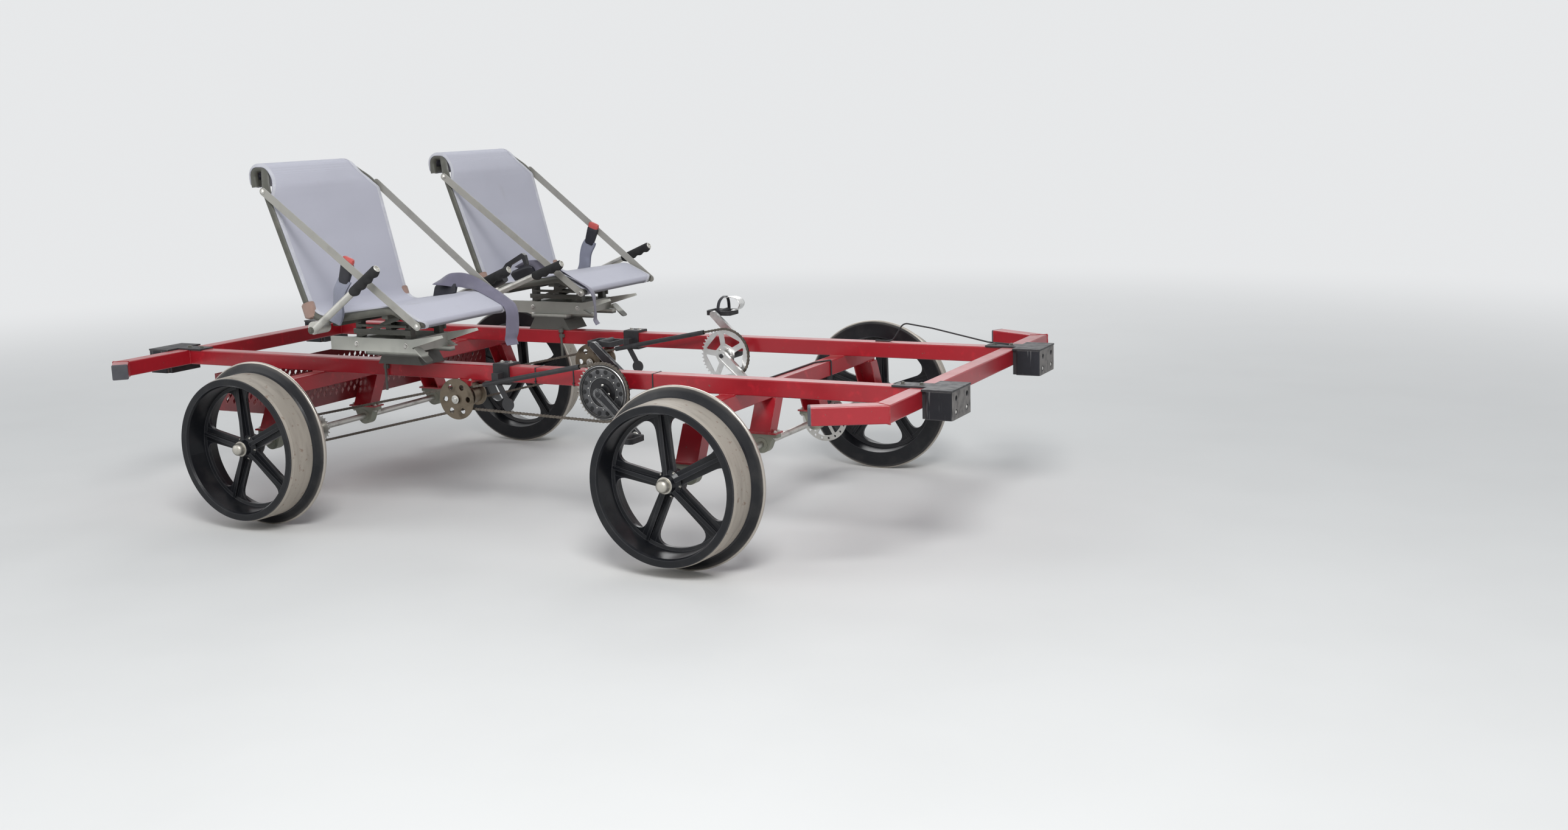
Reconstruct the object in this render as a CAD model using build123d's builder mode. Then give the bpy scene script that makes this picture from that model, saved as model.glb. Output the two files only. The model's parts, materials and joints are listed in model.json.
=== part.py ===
from build123d import *
import os
from math import acos, atan2, cos, degrees, hypot, pi, radians, sin

# Two-seat pedal rail bike for standard gauge, all sizes in millimetres.
# +X points forward, +Y to the left, +Z up.  The origin lies midway between the axles, on the
# plane under the wheel flanges.

# Wheels and axles
WHEELBASE = 1540
FLANGE_BACK_Y = 685      # from the centre line to the inner face of each flange
WHEEL_WIDTH = 129
FLANGE_R = 264
TREAD_R = 232
AXLE_D = 20
SPOKES = 5

# Frame of square tube
FRAME_LENGTH = 2790      # over the outer faces of the two crossmembers
TUBE = 50
TUBE_WALL = 3
TUBE_CORNER = 4
RAIL_Y = 387             # centre of each main rail
RAIL_CLEARANCE = 188     # from the axle centre up to the underside of the main rails
BEAM_LENGTH = 1240

# Legs and bearings that carry the axles
BEARING_DROP = 33        # from a leg's foot to the axle centre
LEG_FOOT = 5
LEG_DEPTH = 70
LEG_WIDTH = 50
LEG_SHEET = 4
LEG_SPLAY = 50           # how much further out the foot is than the top
OUTER_LEG_Y = 640
INNER_LEG_Y = 190
RUNNING_GAP = 0.05

# Bumpers
BUMPER_WIDTH = 150
BUMPER_DEPTH = 78
BUMPER_HEIGHT = 78
BUMPER_CORNER = 6
BUMPER_PLATE = 12
BUMPER_TOP_PLATE = 5
BUMPER_HOLE_D = 16
BUMPER_HOLE_SPAN = 84
BUMPER_HOLE_RISE = 38

# Drive
CRANK_X = 370
CRANK_Z = 445
CRANK_LENGTH = 170
CRANK_ANGLE = -43        # of the right-hand arm, from straight ahead
CHAIN_PITCH = 12.7
RING_TEETH = 44
COG_TEETH = 14
OUTPUT_TEETH = 18
AXLE_TEETH = 22
HUB_X = -167
HUB_Z = 399
CHAIN_LINE = 66          # chainring plane, to the right of each main rail's centre
OUTPUT_LINE = 46         # plane of the second chain, to the right of the rail's centre
CHAIN_HEIGHT = 8
CHAIN_WIDTH = 7
CHAIN_INNER = 3.4        # between the side plates, where the teeth run
CHAIN_BACK = 1.2
TOOTH_THICKNESS = 2
TOOTH_TIP = 2.2          # beyond the pitch circle
TOOTH_WIDTH = 6.5
TOOTH_FLANK = 73.5
ROLLER_R = 3.9
SPINDLE_R = 8.5
SHELL_R = 20
SHELL_LENGTH = 68
PEDAL_OFFSET = 88        # crank arm plane from the rail's centre
ARM_THICKNESS = 14

# Seats
SEAT_Y = 445
SEAT_HALF_BASE = 222
SEAT_HALF_SHOULDER = 250
SEAT_HALF_TOP = 185
SEAT_TUBE_R = 12.5
SEAT_PROFILE = [  # x, z of the side tube: front lip, ridge, base, shoulder, head roll, tail
    (-128, 658),
    (-225, 703),
    (-538, 660),
    (-661, 1062),
    (-720, 1131),
    (-772, 1131),
    (-764, 1072),
]

AXLE_Z = FLANGE_R
RAIL_Z0 = AXLE_Z + RAIL_CLEARANCE
RAIL_Z1 = RAIL_Z0 + TUBE
RAIL_Z = RAIL_Z0 + TUBE / 2
BEAM_Z0 = RAIL_Z0 - TUBE
FOOT_Z = AXLE_Z + BEARING_DROP
CROSS_X = FRAME_LENGTH / 2 - TUBE / 2
AXLE_X = WHEELBASE / 2
SIDES = (("right", -1), ("left", 1))
ENDS = (("front", 1), ("rear", -1))

os.makedirs("parts", exist_ok=True)


def save(part, name):
    part.label = name
    export_step(part, f"parts/{name}.step")


def square_profile(plane):
    """Hollow square tube section on the plane."""
    with BuildSketch(plane) as section:
        RectangleRounded(TUBE, TUBE, TUBE_CORNER)
        inner = TUBE - 2 * TUBE_WALL
        RectangleRounded(inner, inner, TUBE_CORNER - TUBE_WALL, mode=Mode.SUBTRACT)
    return section.sketch


def bar(points, radius, bends=None, mode=Mode.ADD):
    """Round bar in the open part, along straight runs joined by tangent arcs."""
    with BuildLine() as path:
        if bends is None:
            Line(*points)
        else:
            FilletPolyline(*points, radius=bends)
    for edge in path.edges():
        with BuildSketch(Plane(origin=edge @ 0, z_dir=edge % 0)) as section:
            Circle(radius)
        if edge.geom_type == GeomType.CIRCLE:
            arm = (edge @ 0) - edge.arc_center
            axis = Axis(edge.arc_center, arm.cross(edge % 0))
            revolve(section.sketch, axis=axis, mode=mode,
                    revolution_arc=degrees(edge.length / arm.length))
        else:
            extrude(section.sketch, amount=edge.length, mode=mode)


def across(x, y, z):
    """Location of a cylinder that lies along Y."""
    return Location((x, y, z), (90, 0, 0))


def side_plane(x, y, z):
    """Plane facing the right-hand side, x forward and up as on the page."""
    return Plane(origin=(x, y, z), x_dir=(1, 0, 0), z_dir=(0, -1, 0))


# Main rails, each with a bore for its crank shell
rail_length = FRAME_LENGTH - 2 * TUBE
for side, sign in SIDES:
    with BuildPart() as main_rail:
        plane = Plane(origin=(-rail_length / 2, sign * RAIL_Y, RAIL_Z),
                      x_dir=(0, 1, 0), z_dir=(1, 0, 0))
        extrude(square_profile(plane), amount=rail_length)
        with Locations(across(CRANK_X, sign * RAIL_Y, CRANK_Z)):
            Cylinder(SHELL_R, TUBE + 2, mode=Mode.SUBTRACT)
    save(main_rail.part, f"main_rail_{side}")

# Crossmembers with mitred wings.  Each row: end, sign, bend y, wing run along x, wing run along y
WINGS = (("front", 1, 665, -170, 85), ("rear", -1, 690, 55, 55))
CAP_THICKNESS = 8
CAP_CHAMFER = 2
MITRE_SPARE = 60
caps = []
for end, sign, bend_y, run_x, run_y in WINGS:
    x = sign * CROSS_X
    bend = Vector(x, bend_y, RAIL_Z)
    along = Vector(run_x, run_y, 0)
    wing_length = along.length
    along = along.normalized()
    mitre = Plane(origin=bend, z_dir=(along + Vector(0, 1, 0)).normalized())
    with BuildPart() as crossmember:
        plane = Plane(origin=(x, 0, RAIL_Z), x_dir=(1, 0, 0), z_dir=(0, 1, 0))
        extrude(square_profile(plane), amount=bend_y + MITRE_SPARE)
        split(bisect_by=mitre, keep=Keep.BOTTOM)
        mirror(about=Plane.XZ)
    save(crossmember.part, f"crossmember_{end}")
    with BuildPart() as wing:
        start = bend - along * MITRE_SPARE
        extrude(square_profile(Plane(origin=start, x_dir=(0, 0, 1), z_dir=along)),
                amount=wing_length + MITRE_SPARE)
        split(bisect_by=mitre, keep=Keep.TOP)
        mirror(about=Plane.XZ)
    save(wing.part, f"wings_{end}")
    with BuildPart() as cap:
        with BuildSketch(Plane(origin=bend + along * wing_length, x_dir=(0, 0, 1), z_dir=along)):
            RectangleRounded(TUBE, TUBE, TUBE_CORNER)
        extrude(amount=CAP_THICKNESS)
        chamfer(cap.faces().sort_by(Axis((0, 0, 0), along))[-1].edges(), CAP_CHAMFER)
        mirror(about=Plane.XZ)
    caps.append(cap.part)
with BuildPart() as wing_caps:
    add(caps)
save(wing_caps.part, "wing_caps")

# Axle beams on splayed channel legs, each leg on the foot of a pillow block
BLOCK_BASE = (110, 34, 12)
BLOCK_CORNER = 8
BLOCK_R = 28
BLOCK_WIDTH = 30
BLOCK_SHOULDER = 38      # half width of the housing where it meets the base
for end, sign in ENDS:
    x = sign * AXLE_X
    half = LEG_WIDTH / 2
    leg_base = FOOT_Z + LEG_FOOT
    with BuildPart() as legs:
        for foot_y in (OUTER_LEG_Y, INNER_LEG_Y):
            top_y = foot_y - LEG_SPLAY
            with BuildSketch(Plane.YZ.offset(x)):
                Polygon((foot_y - half, leg_base), (foot_y + half, leg_base),
                        (top_y + half, BEAM_Z0), (top_y - half, BEAM_Z0), align=None)
            extrude(amount=LEG_DEPTH / 2, both=True)
            with BuildSketch(Plane.YZ.offset(x)):
                open_side = half + 1
                web_side = half - LEG_SHEET
                Polygon((foot_y - open_side, leg_base), (foot_y + web_side, leg_base),
                        (top_y + web_side, BEAM_Z0), (top_y - open_side, BEAM_Z0), align=None)
            extrude(amount=LEG_DEPTH / 2 - LEG_SHEET, both=True, mode=Mode.SUBTRACT)
            with Locations((x, foot_y, FOOT_Z + LEG_FOOT / 2)):
                Box(BLOCK_BASE[0], LEG_WIDTH, LEG_FOOT)
        mirror(about=Plane.XZ)
    with BuildPart() as axle_frame:
        plane = Plane(origin=(x, -BEAM_LENGTH / 2, BEAM_Z0 + TUBE / 2),
                      x_dir=(1, 0, 0), z_dir=(0, 1, 0))
        extrude(square_profile(plane), amount=BEAM_LENGTH)
        add(legs.part)
    save(axle_frame.part, f"axle_frame_{end}")
    with BuildPart() as blocks:
        for y in (OUTER_LEG_Y, INNER_LEG_Y):
            with BuildSketch(Plane.XY.offset(FOOT_Z)):
                with Locations((x, y)):
                    RectangleRounded(BLOCK_BASE[0], BLOCK_BASE[1], BLOCK_CORNER)
            extrude(amount=-BLOCK_BASE[2])
            with BuildSketch(side_plane(x, y, AXLE_Z)):
                Circle(BLOCK_R)
                with Locations((0, BEARING_DROP - BLOCK_BASE[2])):
                    Rectangle(2 * BLOCK_SHOULDER, 2)
                make_hull()
            extrude(amount=BLOCK_WIDTH / 2, both=True)
            with Locations(across(x, y, AXLE_Z)):
                Cylinder(BLOCK_R - 8, BLOCK_BASE[1])
                Cylinder(AXLE_D / 2 + RUNNING_GAP, BLOCK_BASE[1], mode=Mode.SUBTRACT)
        mirror(about=Plane.XZ)
    save(blocks.part, f"bearings_{end}")

# Tray of perforated sheet behind the rear axle, hung between the main rails
TRAY_GAP = 1
TRAY_FRONT_X = -AXLE_X - LEG_DEPTH / 2 - TRAY_GAP
TRAY_LENGTH = 290
TRAY_HALF_WIDTH = 550
TRAY_Z0 = 327
TRAY_SHEET = 2
TRAY_MARGIN = 14
SLIT_WIDTH = 14
SLIT_HEIGHT = 24
SLIT_LEAN = 4
SLIT_PITCH = 30
SLIT_ROW = 36


def perforated(plane, length, height):
    """Sheet on the plane with staggered rows of leaning diamond slits."""
    columns = int((length - 2 * TRAY_MARGIN) / SLIT_PITCH)
    with BuildSketch(plane) as sheet:
        Rectangle(length, height)
        for shift, rise in ((0, SLIT_ROW / 4), (SLIT_PITCH / 2, -SLIT_ROW / 4)):
            with Locations((shift - SLIT_PITCH / 4, rise)):
                with GridLocations(SLIT_PITCH, SLIT_ROW, columns, 2):
                    Polygon((-SLIT_LEAN, -SLIT_HEIGHT / 2), (SLIT_WIDTH / 2, 0),
                            (SLIT_LEAN, SLIT_HEIGHT / 2), (-SLIT_WIDTH / 2, 0),
                            align=None, mode=Mode.SUBTRACT)
    return sheet.sketch


tray_height = RAIL_Z0 - TRAY_Z0
tray_x = TRAY_FRONT_X - TRAY_LENGTH / 2
wall_z = (TRAY_Z0 + TRAY_SHEET + RAIL_Z0) / 2
wall_height = tray_height - TRAY_SHEET
sheets = []
with BuildPart() as floor:
    with Locations((tray_x, 0, TRAY_Z0 + TRAY_SHEET / 2)):
        Box(TRAY_LENGTH, 2 * TRAY_HALF_WIDTH, TRAY_SHEET)
sheets.append(floor.part)
for wall_x in (TRAY_FRONT_X, TRAY_FRONT_X - TRAY_LENGTH + TRAY_SHEET):
    with BuildPart() as wall:
        plane = Plane(origin=(wall_x, 0, wall_z), x_dir=(0, 1, 0), z_dir=(1, 0, 0))
        extrude(perforated(plane, 2 * TRAY_HALF_WIDTH, wall_height), amount=-TRAY_SHEET)
    sheets.append(wall.part)
for wall_y in (-TRAY_HALF_WIDTH, TRAY_HALF_WIDTH - TRAY_SHEET):
    with BuildPart() as wall:
        extrude(perforated(side_plane(tray_x, wall_y, wall_z), TRAY_LENGTH - 2 * TRAY_SHEET,
                           wall_height), amount=-TRAY_SHEET)
    sheets.append(wall.part)
save(Compound(children=sheets), "perforated_tray")

# Bumpers and the plates that hold them
STRAP_LENGTH = 105
STRAP_WIDTH = 60
PLATE_INSET = 10
for end, sign in ENDS:
    face_x = sign * FRAME_LENGTH / 2
    block_x = face_x + sign * (BUMPER_PLATE + BUMPER_DEPTH / 2)
    block_z = RAIL_Z1 - BUMPER_HEIGHT / 2
    for side, side_sign in SIDES:
        y = side_sign * RAIL_Y
        with BuildPart() as bumper:
            with Locations((block_x, y, block_z)):
                Box(BUMPER_DEPTH, BUMPER_WIDTH, BUMPER_HEIGHT)
            fillet(bumper.edges().filter_by(Axis.Z), BUMPER_CORNER)
            with Locations(Plane(origin=(block_x + sign * BUMPER_DEPTH / 2, y, block_z),
                                 x_dir=(0, 1, 0), z_dir=(sign, 0, 0))):
                with GridLocations(BUMPER_HOLE_SPAN, BUMPER_HOLE_RISE, 2, 2):
                    Hole(BUMPER_HOLE_D / 2, depth=BUMPER_DEPTH / 2)
        save(bumper.part, f"bumper_{end}_{side}")
    with BuildPart() as plates:
        with Locations((face_x + sign * BUMPER_PLATE / 2, RAIL_Y, block_z)):
            Box(BUMPER_PLATE, BUMPER_WIDTH - 2 * PLATE_INSET, BUMPER_HEIGHT)
        top_length = BUMPER_DEPTH + BUMPER_PLATE
        with BuildSketch(Plane.XY.offset(RAIL_Z1)):
            with Locations((face_x + sign * top_length / 2, RAIL_Y)):
                Rectangle(top_length, BUMPER_WIDTH)
            with Locations((face_x - sign * STRAP_LENGTH / 2, RAIL_Y)):
                Rectangle(STRAP_LENGTH, STRAP_WIDTH)
        extrude(amount=BUMPER_TOP_PLATE)
        mirror(about=Plane.XZ)
    save(plates.part, f"bumper_plates_{end}")

# Cast wheels.  The profile runs outward from the flange's back face, u, and in radius, r
RIM_BORE = 206
RIM_PROFILE = (
    (0, RIM_BORE), (0, FLANGE_R - 10), (9, FLANGE_R), (16, FLANGE_R), (30, TREAD_R + 4),
    (36, TREAD_R), (116, TREAD_R - 2), (WHEEL_WIDTH, TREAD_R - 6), (WHEEL_WIDTH, 206),
    (122, 202), (62, 196), (60, 186), (48, 186), (45, 198),
)
FLANGE_EDGE = 3.5
LIP_EDGE = 5
HUB_PROFILE = (
    (30, AXLE_D / 2), (30, 30), (44, 38), (78, 38), (88, 27), (104, 24), (104, AXLE_D / 2),
)
HUB_END = 104
SPOKE_ENDS = ((24, 66), (192, 54))        # radius and u of each spoke's two ends
SPOKE_WEB = ((38, 14), (46, 10))          # across and through, at the hub and at the rim
SPOKE_RIB = ((13, 50), (10, 24))


def spoke_section(end, out, size):
    """Rectangle square to a spoke at one of its ends."""
    radius, u = SPOKE_ENDS[end]
    with BuildSketch(Plane(origin=out * radius + Vector(0, u, 0),
                           x_dir=(-out.Z, 0, out.X), z_dir=out)) as section:
        Rectangle(*size[end])
    return section.sketch


with BuildPart() as wheel:
    with BuildSketch(Plane.YX) as rim:
        Polygon(*RIM_PROFILE, align=None)
        tip = rim.vertices().filter_by_position(Axis.Y, FLANGE_R - 1, FLANGE_R + 1)
        lip = rim.vertices().filter_by_position(Axis.X, WHEEL_WIDTH - 1, WHEEL_WIDTH + 1)
        fillet(tip, FLANGE_EDGE)
        fillet(lip.sort_by(Axis.Y)[-1], LIP_EDGE)
    revolve(axis=Axis.Y)
    with BuildSketch(Plane.YX):
        Polygon(*HUB_PROFILE, align=None)
    revolve(axis=Axis.Y)
    for i in range(SPOKES):
        angle = radians(90 + i * 360 / SPOKES)
        out = Vector(cos(angle), 0, sin(angle))
        for size in (SPOKE_WEB, SPOKE_RIB):
            loft(sections=[spoke_section(end, out, size) for end in (0, 1)], ruled=True)
    with Locations(across(0, WHEEL_WIDTH / 2, 0)):
        Cylinder(AXLE_D / 2, WHEEL_WIDTH, mode=Mode.SUBTRACT)

NUT_R = 16
NUT_LENGTH = 14
WHEEL_TURN = {"left": 0, "right": 9}      # degrees that each side's wheels stand round on the axle
for end, sign in ENDS:
    x = sign * AXLE_X
    for side, side_sign in SIDES:
        with BuildPart() as placed:
            turn = 0 if side_sign > 0 else 180
            with Locations(Location((x, side_sign * FLANGE_BACK_Y, AXLE_Z), (0, 0, turn))
                           * Location((0, 0, 0), (0, WHEEL_TURN[side], 0))):
                add(wheel.part)
        save(placed.part, f"wheel_{end}_{side}")
    hub_end = FLANGE_BACK_Y + HUB_END
    with BuildPart() as axle:
        with Locations(across(x, 0, AXLE_Z)):
            Cylinder(AXLE_D / 2, 2 * hub_end)
        for side_sign in (-1, 1):
            with BuildSketch(Plane(origin=(x, side_sign * hub_end, AXLE_Z),
                                   x_dir=(1, 0, 0), z_dir=(0, side_sign, 0))):
                RegularPolygon(NUT_R, 6)
            extrude(amount=NUT_LENGTH)
    save(axle.part, f"axle_{end}")

# Brake disc on the front axle, and its caliper under the axle beam
DISC_Y = 255
DISC_R = 80
DISC_T = 3
DISC_RIM = 18
DISC_ARMS = 6
DISC_HUB_R = 24
DISC_HUB_LENGTH = 28
with BuildPart() as disc:
    with BuildSketch(side_plane(AXLE_X, DISC_Y, AXLE_Z)):
        Circle(DISC_R)
        Circle(DISC_R - DISC_RIM, mode=Mode.SUBTRACT)
        with PolarLocations((DISC_R + DISC_HUB_R - DISC_RIM) / 2, DISC_ARMS):
            Rectangle(DISC_R - DISC_HUB_R, 10)
        with PolarLocations(DISC_R - DISC_RIM / 2, 3 * DISC_ARMS):
            Circle(4, mode=Mode.SUBTRACT)
    extrude(amount=DISC_T / 2, both=True)
    with Locations(across(AXLE_X, DISC_Y, AXLE_Z)):
        Cylinder(DISC_HUB_R, DISC_HUB_LENGTH)
        Cylinder(AXLE_D / 2, DISC_HUB_LENGTH, mode=Mode.SUBTRACT)
save(disc.part, "brake_disc")

CALIPER_GAP = 2
CALIPER_Z = AXLE_Z + 88
CALIPER_WIDTH = 44
PISTON_R = 16
with BuildPart() as caliper:
    with BuildSketch(side_plane(AXLE_X, DISC_Y, CALIPER_Z)):
        RectangleRounded(74, 54, 14)
    extrude(amount=CALIPER_WIDTH / 2, both=True)
    with Locations(across(AXLE_X, DISC_Y, CALIPER_Z - 6)):
        Cylinder(PISTON_R, CALIPER_WIDTH + 16)
    slot_top = AXLE_Z + DISC_R + CALIPER_GAP
    with Locations((AXLE_X, DISC_Y, (slot_top + CALIPER_Z - 40) / 2)):
        Box(80, DISC_T + 2 * CALIPER_GAP, slot_top - CALIPER_Z + 40, mode=Mode.SUBTRACT)
    bracket_z = CALIPER_Z + 25
    with Locations((AXLE_X, DISC_Y, (bracket_z + BEAM_Z0) / 2)):
        Box(40, 30, BEAM_Z0 - bracket_z)
save(caliper.part, "brake_caliper")


# Drive on each rail
def pitch_radius(teeth):
    return CHAIN_PITCH / (2 * sin(pi / teeth))


def belt_edges(wheels, offset):
    """Closed run around wheels given as (x, z, radius), each inside the run."""
    count = len(wheels)
    normals = []
    for i in range(count):
        x0, z0, r0 = wheels[i]
        x1, z1, r1 = wheels[(i + 1) % count]
        normals.append(atan2(z1 - z0, x1 - x0) - acos((r0 - r1) / hypot(x1 - x0, z1 - z0)))
    leaves = []
    for i in range(count):
        x, z, r = wheels[i]
        turn = (normals[i] - normals[i - 1]) % (2 * pi)
        leaves.append([(x + (r + offset) * cos(a), z + (r + offset) * sin(a))
                       for a in (normals[i - 1], normals[i - 1] + turn / 2, normals[i])])
    for i in range(count):
        ThreePointArc(*leaves[i])
        Line(leaves[i][2], leaves[(i + 1) % count][0])


def tangent(first, second, offset=0):
    """Ends of the straight run that leaves the first wheel for the second."""
    x0, z0, r0 = first
    x1, z1, r1 = second
    angle = atan2(z1 - z0, x1 - x0) - acos((r0 - r1) / hypot(x1 - x0, z1 - z0))
    return [(x + (r + offset) * cos(angle), z + (r + offset) * sin(angle))
            for x, z, r in (first, second)]


def loop_between(wheels, inner, outer, y):
    """Closed band in the plane y, between two offsets from the chain's pitch line."""
    with BuildSketch(side_plane(0, y, 0)) as band:
        with BuildLine():
            belt_edges(wheels, outer)
        make_face()
        with BuildLine():
            belt_edges(wheels, inner)
        make_face(mode=Mode.SUBTRACT)
    return band.sketch


def chain(wheels, y):
    """Chain in the open part: two rows of side plates, joined behind the teeth."""
    half = CHAIN_HEIGHT / 2
    extrude(loop_between(wheels, -half, half, y), amount=CHAIN_WIDTH / 2, both=True)
    extrude(loop_between(wheels, -half - 1, half - CHAIN_BACK, y), amount=CHAIN_INNER / 2,
            both=True, mode=Mode.SUBTRACT)


def sprocket(teeth, centre):
    """Toothed disc in the open part, at the centre given."""
    root = pitch_radius(teeth) - ROLLER_R
    height = ROLLER_R + TOOTH_TIP + 1
    with BuildSketch(side_plane(*centre)) as outline:
        Circle(root)
        with PolarLocations(root - 1, teeth):
            Trapezoid(TOOTH_WIDTH, height, TOOTH_FLANK, rotation=-90,
                      align=(Align.CENTER, Align.MIN))
    extrude(outline.sketch, amount=TOOTH_THICKNESS / 2, both=True)


RING_R = pitch_radius(RING_TEETH)
COG_R = pitch_radius(COG_TEETH)
OUTPUT_R = pitch_radius(OUTPUT_TEETH)
AXLE_COG_R = pitch_radius(AXLE_TEETH)
PRIMARY = [(CRANK_X, CRANK_Z, RING_R), (HUB_X, HUB_Z, COG_R)]
SECONDARY = [(HUB_X, HUB_Z, OUTPUT_R), (-AXLE_X, AXLE_Z, AXLE_COG_R)]

# Right chainring: a dished disc with a ring of pockets under a raised guard
GUARD_R = 80
GUARD_WIDTH = 7
POCKETS = 12
POCKET_R = 55
# Left chainring: five windows between straight arms
WINDOW_R = 51
WINDOW_HEIGHT = 32
WINDOW_WIDTH = 74
WINDOW_FLANK = 54
RING_BOSS_R = 28
RING_BOSS_DEPTH = 6
ARM_ROOT_R = 17
ARM_TIP_R = 12
ARM_RECESS = 2.5
ARM_EDGE = 5
PEDAL_LENGTH = 94
PEDAL_WIDTH = 80
PEDAL_HEIGHT = 16
PEDAL_BARREL_R = 12
PEDAL_SPINDLE_R = 7
PEDAL_GAP = 20           # bare spindle between the arm and the cage
HUB_SHELL_R = 26
HUB_FLANGE_R = 36
HUB_HALF = 30
HUB_DISC_R = 65
HUB_PIN_R = 5
STUB_R = 14
CHEEK_OFFSET = 36
CHEEK_T = 5
BRACKET_T = 5


def arm_plane(sign, offset):
    """Plane of a crank arm on one side of a rail, facing away from the rail."""
    return Plane(origin=(CRANK_X, offset, CRANK_Z), x_dir=(sign, 0, 0), z_dir=(0, sign, 0))


def arm_outline(sign, tip, shrink):
    """Tapered crank arm from the spindle to the pedal eye."""
    Circle(ARM_ROOT_R - shrink)
    with Locations((sign * tip.X, -tip.Z)):
        Circle(ARM_TIP_R - shrink)
    make_hull()


shells = []
brackets = []
for side, sign in SIDES:
    rail_y = sign * RAIL_Y
    ring_y = rail_y - CHAIN_LINE
    output_y = rail_y - OUTPUT_LINE
    arms = []
    for arm_sign, angle in ((-1, CRANK_ANGLE), (1, CRANK_ANGLE + 180)):
        arms.append((arm_sign, Vector(cos(radians(angle)), 0, sin(radians(angle))) * CRANK_LENGTH))

    with BuildPart() as shell:
        with Locations(across(CRANK_X, rail_y, CRANK_Z)):
            Cylinder(SHELL_R, SHELL_LENGTH)
            Cylinder(SPINDLE_R + RUNNING_GAP, SHELL_LENGTH, mode=Mode.SUBTRACT)
    shells.append(shell.part)

    with BuildPart() as ring:
        sprocket(RING_TEETH, (CRANK_X, ring_y, CRANK_Z))
        with BuildSketch(side_plane(CRANK_X, ring_y, CRANK_Z)):
            if side == "right":
                Circle(GUARD_R)
                Circle(GUARD_R - GUARD_WIDTH, mode=Mode.SUBTRACT)
            Circle(RING_BOSS_R)
        extrude(amount=RING_BOSS_DEPTH)
        with BuildSketch() as opening:
            if side == "right":
                RectangleRounded(18, 13, 3)
            else:
                Trapezoid(WINDOW_WIDTH, WINDOW_HEIGHT, WINDOW_FLANK, rotation=90)
                fillet(opening.vertices(), 4)
        with BuildSketch(side_plane(CRANK_X, ring_y, CRANK_Z)):
            if side == "right":
                with PolarLocations(POCKET_R, POCKETS):
                    add(opening.sketch)
            else:
                with PolarLocations(WINDOW_R, 5, start_angle=CRANK_ANGLE + 36):
                    add(opening.sketch)
        extrude(amount=TOOTH_THICKNESS, both=True, mode=Mode.SUBTRACT)
        with Locations(across(CRANK_X, ring_y, CRANK_Z)):
            Cylinder(SPINDLE_R, 4 * RING_BOSS_DEPTH, mode=Mode.SUBTRACT)
    save(ring.part, f"chainring_{side}")

    with BuildPart() as crank:
        with Locations(across(CRANK_X, rail_y, CRANK_Z)):
            Cylinder(SPINDLE_R, 2 * PEDAL_OFFSET)
        for arm_sign, tip in arms:
            inner = rail_y + arm_sign * (PEDAL_OFFSET - ARM_THICKNESS / 2)
            outer = inner + arm_sign * ARM_THICKNESS
            with BuildSketch(arm_plane(arm_sign, inner)):
                arm_outline(arm_sign, tip, 0)
            extrude(amount=ARM_THICKNESS)
            with BuildSketch(arm_plane(arm_sign, outer)):
                arm_outline(arm_sign, tip * 0.86, ARM_EDGE)
            extrude(amount=-ARM_RECESS, mode=Mode.SUBTRACT)
            with Locations(across(CRANK_X, outer - arm_sign * ARM_RECESS / 2, CRANK_Z)):
                Cylinder(SPINDLE_R, ARM_RECESS)
    save(crank.part, f"crank_{side}")

    with BuildPart() as pedals:
        for arm_sign, tip in arms:
            near = rail_y + arm_sign * (PEDAL_OFFSET + ARM_THICKNESS / 2)
            cage_y = near + arm_sign * (PEDAL_GAP + PEDAL_WIDTH / 2)
            px = CRANK_X + tip.X
            pz = CRANK_Z + tip.Z
            with BuildSketch(Plane.XY.offset(pz)):
                with Locations((px, cage_y)):
                    RectangleRounded(PEDAL_LENGTH, PEDAL_WIDTH, 12)
                    with GridLocations(PEDAL_LENGTH / 2, 0, 2, 1):
                        RectangleRounded(PEDAL_LENGTH / 2 - 14, PEDAL_WIDTH - 16, 5, mode=Mode.SUBTRACT)
            extrude(amount=PEDAL_HEIGHT / 2, both=True)
            with Locations(across(px, cage_y, pz)):
                Cylinder(PEDAL_BARREL_R, PEDAL_WIDTH)
            spindle = PEDAL_GAP + PEDAL_WIDTH / 2
            with Locations(across(px, near + arm_sign * spindle / 2, pz)):
                Cylinder(PEDAL_SPINDLE_R, spindle)
    save(pedals.part, f"pedals_{side}")

    with BuildPart() as hub:
        with BuildSketch(Plane(origin=(HUB_X, rail_y, HUB_Z), x_dir=(0, 1, 0), z_dir=(-1, 0, 0))):
            stub = CHAIN_LINE + 14
            Polygon((-stub, 0), (-stub, STUB_R), (-HUB_HALF, STUB_R), (-HUB_HALF, HUB_FLANGE_R),
                    (-HUB_HALF + 5, HUB_FLANGE_R), (-HUB_HALF + 9, HUB_SHELL_R),
                    (HUB_HALF - 9, HUB_SHELL_R), (HUB_HALF - 5, HUB_FLANGE_R),
                    (HUB_HALF, HUB_FLANGE_R), (HUB_HALF, 0), align=None)
        revolve(axis=Axis((HUB_X, rail_y, HUB_Z), (0, 1, 0)))
        sprocket(COG_TEETH, (HUB_X, ring_y, HUB_Z))
        sprocket(OUTPUT_TEETH, (HUB_X, output_y, HUB_Z))
        with BuildSketch(side_plane(HUB_X, ring_y - 11, HUB_Z)):
            Circle(HUB_DISC_R)
            with PolarLocations(HUB_DISC_R / 2 + 10, 6):
                Circle(9, mode=Mode.SUBTRACT)
        extrude(amount=1.5, both=True)
        with Locations(across(HUB_X, rail_y - 30, HUB_Z)):
            Cylinder(HUB_PIN_R + RUNNING_GAP, 200, mode=Mode.SUBTRACT)
    save(hub.part, f"mid_hub_{side}")

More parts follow.
